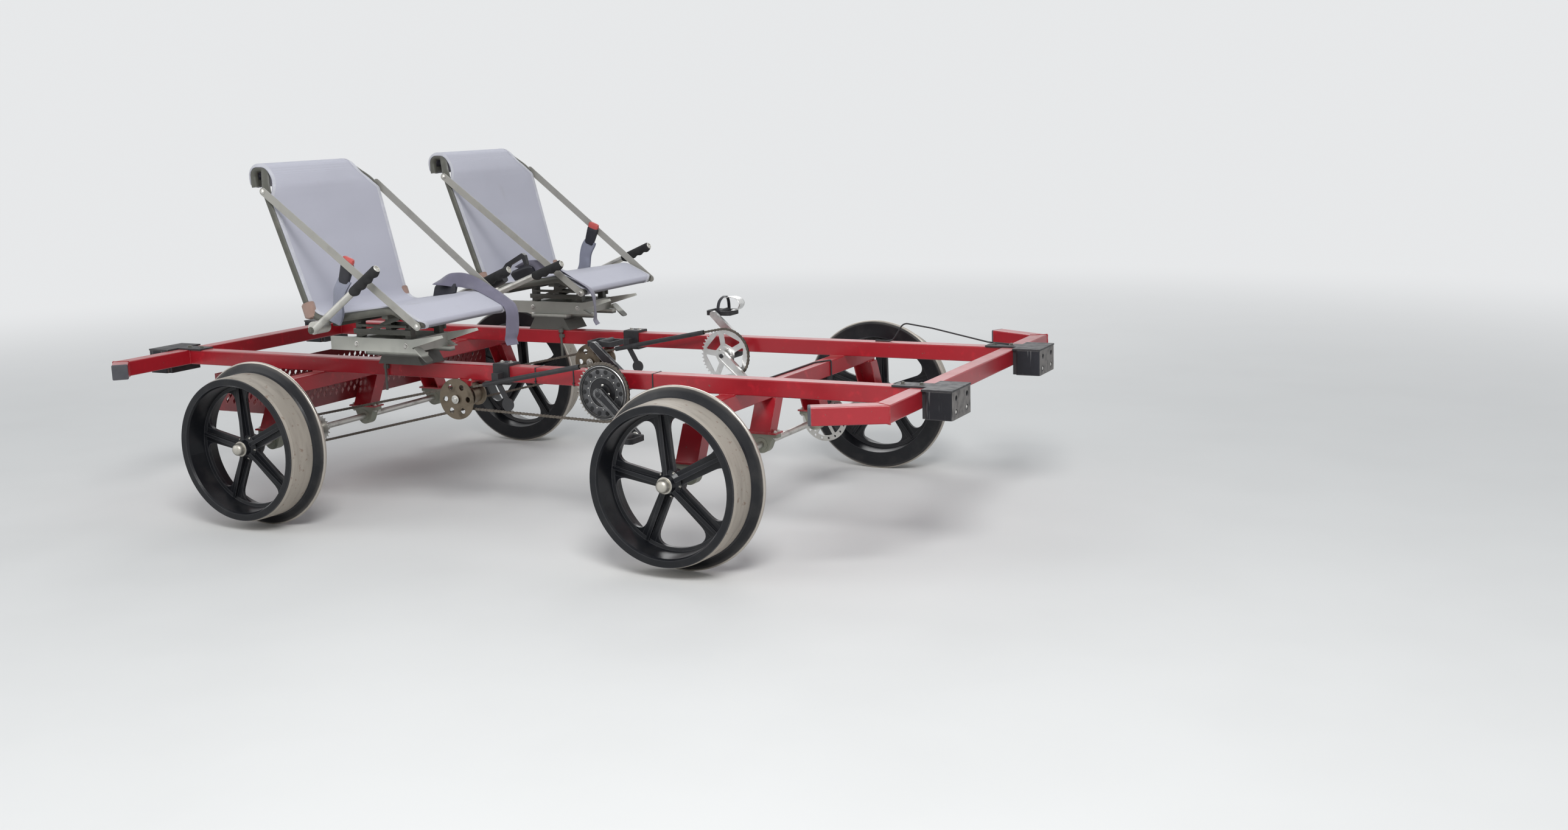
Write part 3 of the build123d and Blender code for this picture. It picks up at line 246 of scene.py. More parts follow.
def dull_plastic(name, color, roughness=0.6):
    """Moulded plastic or rubber: fine grain, pale scuffs and greyed edges."""
    made = Finish(name, color, roughness)
    made.paint(made.patches(0.5, 0.85, 24, 6), shade(color, 2.2), 0.5)
    made.paint(made.edges(0.003), shade(color, 3.5), 0.35)
    made.blend("Roughness", made.patches(0.35, 0.75, 45, 4), min(0.95, roughness + 0.2))
    made.bump(made.noise(700, 2), 0.00008)
    return made.material


def painted_metal(name, color, roughness=0.42, wear=(0.30, 0.27, 0.22), amount=0.5):
    """Satin paint with dirt and rubbed patches."""
    made = Finish(name, color, roughness)
    made.paint(made.patches(0.5, 0.82, 18, 6), wear, amount)
    worn = made.times(made.edges(0.003), made.patches(0.4, 0.6, 90, 3))
    made.paint(worn, shade(wear, 1.3), 0.6)
    made.blend("Roughness", made.patches(0.35, 0.8, 40, 4), roughness + 0.2)
    made.bump(made.noise(350, 2), 0.00007)
    return made.material


def rubber_pad(name, color):
    """Old black rubber: greyed, dusty on top, with its outer face rubbed grey."""
    made = Finish(name, color, 0.62, Specular_IOR_Level=0.25)
    made.paint(made.patches(0.4, 0.8, 9, 5), shade(color, 1.8))
    made.paint(made.band(made.facing(), 0.3, 0.9), (0.115, 0.113, 0.118), 0.55)
    outer = made.band(made.math("ABSOLUTE", made.facing("X")), 0.7, 0.95)
    rubbed = made.patches(0.10, 0.62, 35, 6)
    made.paint(made.times(outer, rubbed), (0.23, 0.215, 0.205), 0.9)
    scratch = made.patches(0.62, 0.70, 150, 3, (1, 1, 0.06))
    made.paint(scratch, (0.20, 0.20, 0.20), 0.4)
    made.paint(made.edges(0.006), (0.17, 0.165, 0.16), 0.4)
    made.bump(made.noise(90, 6), 0.0004)
    made.bump(made.noise(900, 2), 0.0001)
    return made.material


# Where the wheel's surfaces change, as distances from the axle and from the flange's back
TREAD_R = FLANGE_R - 0.032
WHEEL_BACK_Y = abs(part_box("wheel_front_left")[0][1])
WHEEL_BLACK = (0.0075, 0.0082, 0.0105)
TREAD_TAN = (0.41, 0.37, 0.32)
FLANGE_PALE = (0.50, 0.46, 0.41)


def wheel_paint(name, axle):
    """Black wheel whose tread is run bare and dusty and whose flange tip is bright."""
    made = Finish(name, WHEEL_BLACK, 0.30, Specular_IOR_Level=0.32)
    made.paint(made.patches(0.45, 0.85, 16, 6), (0.045, 0.043, 0.042), 0.4)
    made.paint(made.edges(0.004), (0.15, 0.15, 0.16), 0.35)
    radius = made.radius_from(axle)
    ragged = made.math("ADD", radius, made.times(made.noise(30, 5), 0.002))
    out = made.math("SUBTRACT", made.math("ABSOLUTE", made.axis("Y")), WHEEL_BACK_Y)
    tread = made.times(made.band(ragged, TREAD_R - 0.0050, TREAD_R - 0.0035),
                       made.between(out, 0.037, 0.1255, 0.0012))
    made.paint(tread, TREAD_TAN)
    made.paint(tread, shade(TREAD_TAN, 0.74), made.patches(0.42, 0.80, 9, 6, (1, 5, 1)))
    rust = made.times(tread, made.patches(0.6, 0.7, 60, 5))
    made.paint(rust, (0.16, 0.075, 0.04), 0.5)
    dusty = made.times(made.band(ragged, FLANGE_R - 0.0150, FLANGE_R - 0.0040),
                       made.patches(0.25, 0.65, 12, 5))
    made.paint(dusty, (0.12, 0.11, 0.10), 0.45)
    tip = made.band(ragged, FLANGE_R - 0.0050, FLANGE_R - 0.0015)
    made.paint(tip, FLANGE_PALE)
    made.blend("Metallic", made.math("MAXIMUM", made.times(tread, 0.35), tip), 0.8)
    made.blend("Roughness", tread, 0.55)
    made.bump(made.noise(160, 4), 0.0002)
    made.bump(made.times(tread, made.noise(60, 4, (1, 14, 1))), 0.00025)
    return made.material


def mesh_fabric(name, color, pitch=0.0022):
    """Woven sling fabric of coated yarn, a plain weave at the given pitch."""
    made = Finish(name, color, 0.7, Sheen_Weight=0.2, Sheen_Roughness=0.4)
    across = made.math("SINE", made.times(made.axis("Y"), 2 * pi / pitch))
    span = made.math("ADD", made.axis("X"), made.axis("Z"))
    along = made.math("SINE", made.times(span, 2 * pi / pitch))
    weave = made.times(across, along)
    made.paint(made.band(weave, -0.9, 0.6), shade(color, 1.2), 0.28)
    made.paint(made.patches(0.45, 0.8, 4, 4), shade(color, 0.88), 0.35)
    # Painted highlight: faces that point up are made lighter, as if lit from above
    made.paint(made.band(made.facing(), 0.55, 0.95), shade(color, 1.22), 0.6)
    # Painted shade: faces that point down are made much darker, for the shaded underside of the cloth
    under = made.band(made.times(made.facing(), -1.0), 0.05, 0.55)
    made.paint(under, shade(color, 0.22), 0.75)
    pan = made.math("LESS_THAN", made.axis("Z"), 0.735)
    for place in (-0.262, -0.288, -0.318, -0.352):
        line = made.times(pan, made.between(made.axis("X"), place - 0.0012, place + 0.0012, 0.0008))
        made.paint(line, shade(color, 0.72), 0.5)
        made.bump(line, -0.0006)
    made.paint(made.patches(0.6, 0.85, 11, 6, (1, 1, 0.35)), (0.30, 0.28, 0.25), 0.25)
    made.bump(weave, 0.00025)
    return made.material


def edged_metal(name, color, bright, roughness=0.32, radius=0.0042):
    """Dark anodised metal, bright where its edges are rubbed."""
    made = Finish(name, color, roughness, 0.6)
    made.paint(made.patches(0.5, 0.8, 30, 5), shade(color, 2.4), 0.4)
    worn = made.times(made.edges(radius, 0.02, 0.10), made.patches(0.25, 0.5, 50, 3))
    made.paint(worn, bright, 0.85)
    made.bump(made.noise(260, 2), 0.00005)
    return made.material


def ring_paint(name, color, centre, tooth_r):
    """Black chainring whose teeth and guard edge are bare metal."""
    made = Finish(name, color, 0.34, 0.3)
    made.paint(made.patches(0.5, 0.8, 40, 5), (0.10, 0.09, 0.08), 0.4)
    radius = made.radius_from(centre)
    teeth = made.band(radius, tooth_r - 0.0030, tooth_r - 0.0010)
    guard = made.times(made.between(radius, 0.0725, 0.0805, 0.0006), made.edges(0.002, 0.03, 0.12))
    bare = made.math("MAXIMUM", teeth, made.times(guard, 0.9))
    made.paint(bare, (0.42, 0.40, 0.37))
    made.blend("Metallic", bare, 1.0)
    made.bump(made.noise(260, 2), 0.00005)
    return made.material


def slide_paint(name, color, low, high):
    """Grey-olive paint above, dark greasy metal below the level given."""
    made = Finish(name, color, 0.42)
    made.paint(made.patches(0.45, 0.8, 16, 6), shade(color, 0.6), 0.5)
    made.paint(made.edges(0.003), shade(color, 1.35), 0.4)
    below = made.band(made.math("ADD", made.axis("Z"), made.times(made.noise(24, 5), 0.004)), high, low)
    made.paint(below, (0.045, 0.043, 0.038), 0.9)
    made.blend("Roughness", made.patches(0.35, 0.8, 40, 4), 0.62)
    made.bump(made.noise(350, 2), 0.00007)
    return made.material


def webbing_fabric(name, color, pitch=0.0017):
    """Belt webbing: fine ribs across and a paler worn middle."""
    made = Finish(name, color, 0.75, Sheen_Weight=0.3)
    span = made.math("ADD", made.axis("X"), made.axis("Z"))
    rib = made.math("SINE", made.times(span, 2 * pi / pitch))
    made.paint(made.patches(0.4, 0.8, 30, 4), shade(color, 1.4), 0.5)
    made.bump(rib, 0.0002)
    return made.material


# Each finish: its name, which is its slot's where it has one, what makes it, its colour and settings
FINISHES = (
    ("frame_red", gloss_paint, (0.36, 0.010, 0.019)),
    ("tray_red", gloss_paint, (0.16, 0.012, 0.016)),
    ("bumper_black", rubber_pad, (0.014, 0.0145, 0.018)),
    ("bumper_plate", painted_metal, (0.022, 0.022, 0.025), 0.5, (0.085, 0.082, 0.078)),
    ("steel", worn_steel, (0.62, 0.61, 0.58)),
    ("cast_olive", painted_metal, (0.24, 0.25, 0.20)),
    ("chain_steel", worn_steel, (0.16, 0.14, 0.12), 0.4),
    ("ring_black", ring_paint, (0.018, 0.018, 0.020), CRANK["right"], 0.0863),
    ("ring_silver", worn_steel, (0.75, 0.75, 0.74), 0.28, 0.3),
    ("ring_plate", edged_metal, (0.085, 0.085, 0.088), (0.5, 0.5, 0.5)),
    ("arm_dark", edged_metal, (0.035, 0.035, 0.038), (0.55, 0.55, 0.55)),
    ("arm_silver", worn_steel, (0.74, 0.74, 0.73), 0.28, 0.3),
    ("pedal_black", dull_plastic, (0.020, 0.020, 0.022)),
    ("hub_metal", worn_steel, (0.20, 0.165, 0.125), 0.36, 0.95, (0.030, 0.024, 0.018)),
    ("guide_black", dull_plastic, (0.022, 0.022, 0.024), 0.5),
    ("seat_tube", painted_metal, (0.085, 0.085, 0.070), 0.38, (0.2, 0.19, 0.16)),
    ("mesh_grey", mesh_fabric, (0.48, 0.48, 0.55)),
    ("slide_grey", slide_paint, (0.50, 0.50, 0.45), 0.548, 0.556),
    ("stay_silver", worn_steel, (0.60, 0.59, 0.55), 0.40, 0.45),
    ("stay_strap", painted_metal, (0.34, 0.33, 0.30), 0.5, (0.20, 0.19, 0.17)),
    ("grip_foam", dull_plastic, (0.014, 0.014, 0.015), 0.8),
    ("lever_black", dull_plastic, (0.016, 0.016, 0.018), 0.4),
    ("belt_web", webbing_fabric, (0.17, 0.16, 0.22)),
    ("buckle_black", dull_plastic, (0.016, 0.016, 0.022), 0.45),
    ("buckle_red", dull_plastic, (0.52, 0.085, 0.075), 0.45),
    ("cap_grey", dull_plastic, (0.07, 0.07, 0.08), 0.6),
    ("cap_nut", worn_steel, (0.52, 0.50, 0.45), 0.42, 0.5),
    ("sling_hem", webbing_fabric, (0.55, 0.55, 0.60), 0.0022),
    ("sling_thread", dull_plastic, (0.62, 0.62, 0.64), 0.7),
    ("strap_web", webbing_fabric, (0.25, 0.26, 0.33)),
    ("anchor_web", webbing_fabric, (0.34, 0.22, 0.18)),
)
finishes = {name: make(name, *settings) for name, make, *settings in FINISHES}
finishes.update({f"wheel_black_{end}": wheel_paint(f"wheel_black_{end}", AXLE[end]) for end, _ in ENDS})

# CAD nodes whose finish isn't named after their slot
OWN_FINISH = {"seat_stays": "stay_strap", "bottom_brackets": "guide_black"}
OWN_FINISH.update({f"wheel_{end}_{side}": f"wheel_black_{end}" for end, _ in ENDS for side, _ in SIDES})
for entry in frame["record"]["subparts"]:
    for material_slot in frame["nodes"][entry["node"]].material_slots:
        material_slot.material = finishes[OWN_FINISH.get(entry["node"], entry["material_slot"])]


# Shapes
class Shape:
    """Points and faces collected for one piece."""

    def __init__(self):
        self.points = []
        self.faces = []

    def rings(self, rings, closed=True, caps=True):
        """Skin rings of equal length, one after another; caps close the two ends."""
        first = len(self.points)
        count = len(rings[0])
        for ring in rings:
            self.points.extend(tuple(point) for point in ring)
        span = count if closed else count - 1
        for row in range(len(rings) - 1):
            for i in range(span):
                j = (i + 1) % count
                a = first + row * count
                self.faces.append((a + i, a + j, a + count + j, a + count + i))
        if caps:
            last = first + (len(rings) - 1) * count
            self.faces.append(tuple(range(first + count - 1, first - 1, -1)))
            self.faces.append(tuple(range(last, last + count)))
        return self

    def hoop(self, at, along, section, sides=72):
        """Ring with the closed section given as heights and radii."""
        out, across = frame_around(along)
        self.rings([[at + along * height + swung(out, across, turn) * radius
                     for height, radius in section]
                    for turn in (2 * pi * k / sides for k in range(sides + 1))], caps=False)

    def merge(self, other):
        first = len(self.points)
        self.points.extend(other.points)
        self.faces.extend(tuple(first + i for i in face) for face in other.faces)
        return self

    def turned(self, at, along, profile, sides=20, spin=0.0):
        """Revolve (height, radius) pairs around the axis; sides of 6 makes a hexagon."""
        out, across = frame_around(along)
        return self.rings([[Vector(at) + along * height
                            + swung(out, across, spin + 2 * pi * i / sides) * radius
                            for i in range(sides)] for height, radius in profile])

    def bolt(self, at, along, radius, height, washer=0.0012, spin=0.3):
        """Washer and chamfered hexagon head standing on a face."""
        along = Vector(along).normalized()
        self.turned(at, along, [(-0.0005, 1.5 * radius), (washer * 0.8, 1.5 * radius),
                                (washer, 1.42 * radius)], 18)
        base = Vector(at) + along * washer
        self.turned(base, along, [(0, radius), (height * 0.8, radius), (height, radius * 0.84)], 6, spin)
        return self.turned(base + along * (height - 0.0002), along,
                           [(0, radius * 0.5), (radius * 0.16, radius * 0.42)], 12)

    def button(self, at, along, radius, height):
        """Round head with a hexagon socket."""
        along = Vector(along).normalized()
        self.turned(at, along, [(-0.0005, radius), (height * 0.45, radius), (height * 0.85, radius * 0.8),
                                (height, radius * 0.55)], 18)
        return self.turned(Vector(at) + along * (height * 0.99), along, [(0, radius * 0.36),
                                                                         (0.0003, radius * 0.34)], 6)

    def bead(self, start, end, radius=0.0026, seed=0.0):
        """Weld bead: overlapping ripples along a joint."""
        start, end = Vector(start), Vector(end)
        return self.ripple([start.lerp(end, i / 6) for i in range(7)], radius, seed)

    def ripple(self, spots, radius, seed=0.0):
        """Weld bead along a line of spots."""
        rings, gone = [], 0.0
        for first, second in zip(spots, spots[1:]):
            run = second - first
            along = run.normalized()
            out, across = frame_around(along)
            steps = max(2, int(run.length / 0.0016))
            for step in range(steps + (second is spots[-1])):
                share = step / steps
                here = gone + share * run.length
                size = radius * (0.86 + 0.16 * abs(sin(here * 950 + seed))
                                 + 0.10 * sin(here * 173 + seed * 3))
                sway = out * (0.0005 * sin(here * 260 + seed))
                rings.append([first + run * share + sway + swung(out, across, t) * size
                              for t in (2 * pi * i / 8 for i in range(8))])
            gone += run.length
        return self.rings(rings)

    def piece(self, name, slot, finish=None, body="chassis", angle=35):
        """Object in the slot's finish, or its own, that rides on the body."""
        mesh = bpy.data.meshes.new(name)
        mesh.from_pydata(self.points, [], self.faces)
        mesh.update()
        shape = bmesh.new()
        shape.from_mesh(mesh)
        bmesh.ops.recalc_face_normals(shape, faces=shape.faces)
        shape.to_mesh(mesh)
        shape.free()
        mesh.shade_smooth()
        mesh.set_sharp_from_angle(angle=radians(angle))
        mesh.materials.append(finishes[finish or slot])
        made = placed(name, mesh)
        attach(made, body)
        return made


def frame_around(along):
    """Two unit vectors square to the direction and to each other."""
    along = Vector(along).normalized()
    helper = Z_AXIS if abs(along.z) < 0.9 else X_AXIS
    out = along.cross(helper).normalized()
    return out, along.cross(out)


def curved(points, radii, step=0.012):
    """Places and directions along straight runs joined by tangent arcs."""
    points = [Vector(point) for point in points]
    result = []

    def run(start, end):
        length = (end - start).length
        count = max(1, int(length / step))
        along = (end - start).normalized()
        for i in range(count + 1):
            result.append((start.lerp(end, i / count), along))

    start = points[0]
    for i in range(1, len(points) - 1):
        before = (points[i] - points[i - 1]).normalized()
        after = (points[i + 1] - points[i]).normalized()
        angle = before.angle(after)
        back = radii[i - 1] * tan(angle / 2)
        run(start, points[i] - before * back)
        centre_way = (after - before).normalized()
        centre = points[i] + centre_way * (radii[i - 1] / cos(angle / 2))
        arm = points[i] - before * back - centre
        turns = max(3, int(angle / radians(5)))
        for k in range(1, turns):
            share = angle * k / turns
            at = centre + arm * cos(share) + before * (radii[i - 1] * sin(share))
            result.append((at, before * cos(share) - arm.normalized() * sin(share)))
        start = points[i] + after * back
    run(start, points[-1])
    return result


def oblong(centre, wide, thick, wide_power, thick_power, count=28):
    """Ring between an oval and a rectangle, squarer the lower its powers."""
    return [centre + wide * copysign(abs(cos(t)) ** wide_power, cos(t))
            + thick * copysign(abs(sin(t)) ** thick_power, sin(t))
            for t in (2 * pi * (k + 0.5) / count for k in range(count))]


def headed(line):
    """Places of a line, each with the line's direction there."""
    last = len(line) - 1
    return [(line[i], (line[min(i + 1, last)] - line[max(i - 1, 0)]).normalized()) for i in range(last + 1)]


def ribbon(rows, thickness=0.0018):
    """Closed strap through rows of (place, half width vector, face vector), rounded at its edges."""
    section = ((-1, 0), (-0.975, 0.8), (-0.6, 1), (0, 1), (0.6, 1), (0.975, 0.8),
               (1, 0), (0.975, -0.8), (0.6, -1), (0, -1), (-0.6, -1), (-0.975, -0.8))
    return Shape().rings([[place + half * share + Vector(face).normalized() * (thickness / 2) * rise
                           for share, rise in section] for place, half, face in rows])


def eased(points, steps=10):
    """Smooth line through the points, Catmull-Rom, of vectors of any length."""
    result = []
    last = len(points) - 1
    for i in range(last):
        p0, p1, p2, p3 = (Vector(points[max(0, min(last, i + k))]) for k in (-1, 0, 1, 2))
        for k in range(steps):
            t = k / steps
            result.append(0.5 * ((2 * p1) + (p2 - p0) * t + (2 * p0 - 5 * p1 + 4 * p2 - p3) * t ** 2
                                 + (3 * p1 - p0 - 3 * p2 + p3) * t ** 3))
    result.append(Vector(points[-1]))
    return result

# Seat slings: woven sheet over the side tubes, sagging between them
TUBE_R = 0.0125
CROSS_R = 0.011
CLOTH_R = TUBE_R + 0.0010        # cloth's middle surface from a side tube's centre
PROFILE = ((-0.128, 0.658), (-0.225, 0.703), (-0.538, 0.660), (-0.661, 1.062), (-0.720, 1.131),
           (-0.772, 1.131), (-0.764, 1.072))
HALVES = (0.222, 0.222, 0.222, 0.250, 0.185, 0.185, 0.185)
BENDS = (0.045, 0.070, 0.060, 0.026, 0.026)
BASE_X, CROWN_Z = PROFILE[2][0], PROFILE[4][1]
SHOULDER_Z = PROFILE[3][1]
SIDE_WRAP = radians(26)          # how far the cloth turns down around a side tube
CROWN_WRAP = 3.0                 # times as far over the crown
SAG = 0.012
COLUMNS = 44


def along_profile(first, share):
    (x0, z0), (x1, z1) = PROFILE[first], PROFILE[first + 1]
    return Vector((x0 + share * (x1 - x0), 0, z0 + share * (z1 - z0)))


def sling_rows():
    """Rows of the sling: tube axis, outward normal, half width, wrap, sag and cloth radius."""
    rows = []
    front = along_profile(0, 0.06)
    tail = along_profile(5, 0.8)
    path = curved([(x, half, z) for (x, z), half in zip(PROFILE, HALVES)], BENDS)
    main = []
    for place, way in path:
        normal = Vector((way.z, 0, -way.x)).normalized()
        main.append((Vector((place.x, 0, place.z)), normal, place.y))
    main = [row for row in main if row[0].x < front.x - 0.001]
    while main[-1][0].z < tail.z + 0.001 and main[-1][0].x < -0.74:
        main.pop()
    start_way, end_way = main[0][1], main[-1][1]
    under = Vector((-1, 0, -0.12)).normalized()
    for i in range(5):
        rows.append((front + under * (0.034 - 0.008 * i), Vector((0.12, 0, -1)).normalized(),
                     0.200, 0.0, 0.0, CROSS_R + 0.0012))
    low = atan2(-1, 0.12)
    high = atan2(start_way.z, start_way.x)
    for i in range(15):
        turn = low + (high - low) * i / 14
        rows.append((front, swung(X_AXIS, Z_AXIS, turn), 0.200 + 0.022 * (i / 14) ** 2,
                     max(0.0, (i - 9) / 5), 0.0, CROSS_R + 0.0012 + (CLOTH_R - CROSS_R - 0.0012) * i / 14))
    for place, normal, half in main:
        crown = max(0.0, min(1.0, (place.z - SHOULDER_Z + 0.005) / 0.045))
        rows.append((place, normal, half, 1 + (CROWN_WRAP - 1) * crown, 1.0 - crown, CLOTH_R))
    low = atan2(end_way.z, end_way.x) % (2 * pi)
    for i in range(1, 17):
        turn = low + radians(165) * i / 16
        rows.append((tail, swung(X_AXIS, Z_AXIS, turn), 0.185 - 0.018 * i / 16,
                     CROWN_WRAP * max(0.0, 1 - i / 5), 0.0,
                     CLOTH_R + (CROSS_R + 0.0012 - CLOTH_R) * min(1, i / 5)))
    inside = rows[-1]
    up = Vector((-inside[1].z, 0, inside[1].x))
    for i in range(1, 5):
        rows.append((tail + up * 0.009 * i, inside[1], 0.166, 0.0, 0.0, CROSS_R + 0.0012))
    return rows


ROWS = sling_rows()
REACH = [0.0]
for before, after in zip(ROWS, ROWS[1:]):
    REACH.append(REACH[-1] + ((before[0] + before[1] * before[5]) - (after[0] + after[1] * after[5])).length)


def sling_edge(row):
    """Half the cloth's width on a row, measured over the side tube."""
    axis, normal, half, wrap, sag, radius = row
    cut = 0.0
    if SHOULDER_Z - 0.02 < axis.z < CROWN_Z and normal.x > 0.2:
        cut = 0.030 * sin(pi * (axis.z - SHOULDER_Z + 0.02) / (CROWN_Z - SHOULDER_Z + 0.02))
    return half + wrap * SIDE_WRAP * radius - cut


SUPPORTS = [along_profile(first, share) for first, share in ((0, 0.06), (1, 0.5), (2, 0.3), (4, 0.5))]


def freedom(axis):
    """How far the cloth can sag: little where it runs over a cross tube."""
    near = min((axis - support).length for support in SUPPORTS)
    return 0.10 + 0.90 * min(1.0, near / 0.13) ** 1.6


def sling_point(row, q, lift=0.0):
    """Place of the cloth at q across from the middle, q measured along the cloth."""
    axis, normal, half, wrap, sag, radius = row
    side = -1 if q < 0 else 1
    reach = abs(q)
    if reach <= half:
        share = reach / half
        slack = SAG * sag * freedom(axis) * (1 - share ** 2.4)
        base = hypot(axis.x - BASE_X, axis.z - 0.66)
        pull = 0.0011 * sin(110 * (axis.z + 0.4 * axis.x) + 16 * reach) * max(0.0, 1 - base / 0.16)
        height = radius - slack + (pull + 0.0006 * sin(37 * axis.z + 9 * q)) * sag * (1 - share ** 6)
        across = reach
        height += lift
    else:
        turn = (reach - half) / radius
        across = half + (radius + lift) * sin(turn)
        height = (radius + lift) * cos(turn)
    return Vector((axis.x + normal.x * height, side * across, axis.z + normal.z * height))


def sling_strip(rows, inner, outer, lift, centre, columns=4):
    """Strip of cloth on the sling; inner and outer are distances from its edge on one side."""
    shape = Shape()
    for side in BOTH:
        rings = []
        for row in rows:
            places = [side * (sling_edge(row) - inner - (outer - inner) * k / columns)
                      for k in range(columns + 1)]
            rings.append([sling_point(row, q, lift) + centre for q in places]
                         + [sling_point(row, q, lift - 0.0012) + centre for q in reversed(places)])
        shape.rings(rings)
    return shape


def stitch(thread, side, inset, centre):
    """Row of stitches at the inset from one side's edge."""
    travel = 0.004
    index = 0
    while travel < REACH[-1] - 0.006:
        ends = []
        for spot in (travel, travel + 0.0032):
            while REACH[index + 1] < spot:
                index += 1
            share = (spot - REACH[index]) / (REACH[index + 1] - REACH[index])
            pair = [sling_point(ROWS[k], side * (sling_edge(ROWS[k]) - inset), 0.0021)
                    for k in (index, index + 1)]
            ends.append(pair[0].lerp(pair[1], share) + centre)
        along = ends[1] - ends[0]
        if along.length > 1e-5:
            out, across = frame_around(along)
            thread.rings([[spot + swung(out, across, pi / 4 + k * pi / 2) * size for k in range(4)]
                          for spot, size in ((ends[0], 0.0003), (ends[0].lerp(ends[1], 0.5), 0.0006),
                                             (ends[1], 0.0003))])
        travel += 0.0052


for side, sign in SIDES:
    centre = Y_AXIS * (sign * SEAT_Y)
    cloth = Shape()
    rings = []
    for row in ROWS:
        edge = sling_edge(row)
        rings.append([sling_point(row, edge * (2 * k / COLUMNS - 1)) + centre for k in range(COLUMNS + 1)])
    cloth.rings(rings, closed=False, caps=False)
    sling = cloth.piece(f"sling_{side}", "mesh_grey", angle=80)
    thicken = sling.modifiers.new("thickness", "SOLIDIFY")
    thicken.thickness = 0.0016
    thicken.offset = 0
    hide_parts(f"seat_sling_{side}")

    hems = sling_strip(ROWS, 0.0005, 0.0150, 0.0016, centre)
    hem = hems.piece(f"sling_hem_{side}", "mesh_grey", "sling_hem", angle=80)

    thread = Shape()
    for edge_side, inset in product(BOTH, (0.0035, 0.0122)):
        stitch(thread, edge_side, inset, centre)
    stitches = thread.piece(f"sling_stitches_{side}", "mesh_grey", "sling_thread")


# Belt webbing that lies over each seat's inboard edge and hangs at its front
BELT_WIDTH = 0.048
# Each row: x and z of the upper edge, x and z of the lower edge, and how far each edge lies
# outboard of the inner side tube
BELT_ROWS = (
    (-0.400, 0.743, -0.399, 0.733, -0.012, 0.030), (-0.365, 0.761, -0.363, 0.729, -0.010, 0.026),
    (-0.334, 0.768, -0.336, 0.7235, -0.010, 0.009), (-0.300, 0.768, -0.307, 0.7225, -0.010, 0.004),
    (-0.266, 0.760, -0.280, 0.7205, -0.011, 0.012), (-0.222, 0.742, -0.236, 0.7195, -0.011, 0.030),
    (-0.175, 0.717, -0.188, 0.7030, -0.010, 0.032), (-0.132, 0.691, -0.140, 0.6820, -0.008, 0.032),
    (-0.104, 0.672, -0.111, 0.6640, -0.004, 0.032), (-0.092, 0.646, -0.102, 0.6400, 0.002, 0.034),
    (-0.089, 0.615, -0.103, 0.6130, 0.006, 0.036), (-0.091, 0.585, -0.104, 0.5830, 0.010, 0.038),
    (-0.097, 0.563, -0.106, 0.5600, 0.012, 0.042), (-0.090, 0.546, -0.096, 0.5420, 0.014, 0.046),
)
for side, sign in SIDES:
    inboard = -sign
    edge_y = sign * SEAT_Y + inboard * HALVES[0]
    lines = [eased([(row[2 * k], edge_y - inboard * row[4 + k], row[2 * k + 1]) for row in BELT_ROWS], 7)
             for k in (0, 1)]
    middles = [(a + b) / 2 for a, b in zip(*lines)]
    rows = []
    for i, (place, ahead) in enumerate(headed(middles)):
        wide = lines[1][i] - lines[0][i]
        wide = (wide - ahead * wide.dot(ahead)).normalized() * (BELT_WIDTH / 2)
        rows.append((place, wide, wide.cross(ahead)))
    ribbon(rows, 0.0020).piece(f"belt_{side}", "belt_web", angle=60)
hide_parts("belt_webbing")

# Buckle at the rear end of each inboard belt
for side, sign in SIDES:
    inboard = -sign
    edge_y = sign * SEAT_Y + inboard * HALVES[0]
    at = Vector((-0.352, edge_y - inboard * 0.002, 0.7185))
    along = Vector((-0.93, 0.02 * inboard, -0.24)).normalized()
    face = Vector((-0.10, -0.80 * inboard, 0.55)).normalized()
    wide = face.cross(along).normalized()
    face = along.cross(wide)
    body = Shape()
    rings = []
    for travel, half, thick in ((-0.030, 0.024, 0.005), (-0.022, 0.0305, 0.0080), (-0.002, 0.0320, 0.0096),
                                (0.030, 0.0310, 0.0100), (0.056, 0.0275, 0.0090), (0.065, 0.0220, 0.0055)):
        rings.append(oblong(at + along * travel, wide * half, face * thick, 0.35, 0.55))
    body.rings(rings)
    body.piece(f"belt_clasp_{side}", "buckle_black", angle=50)

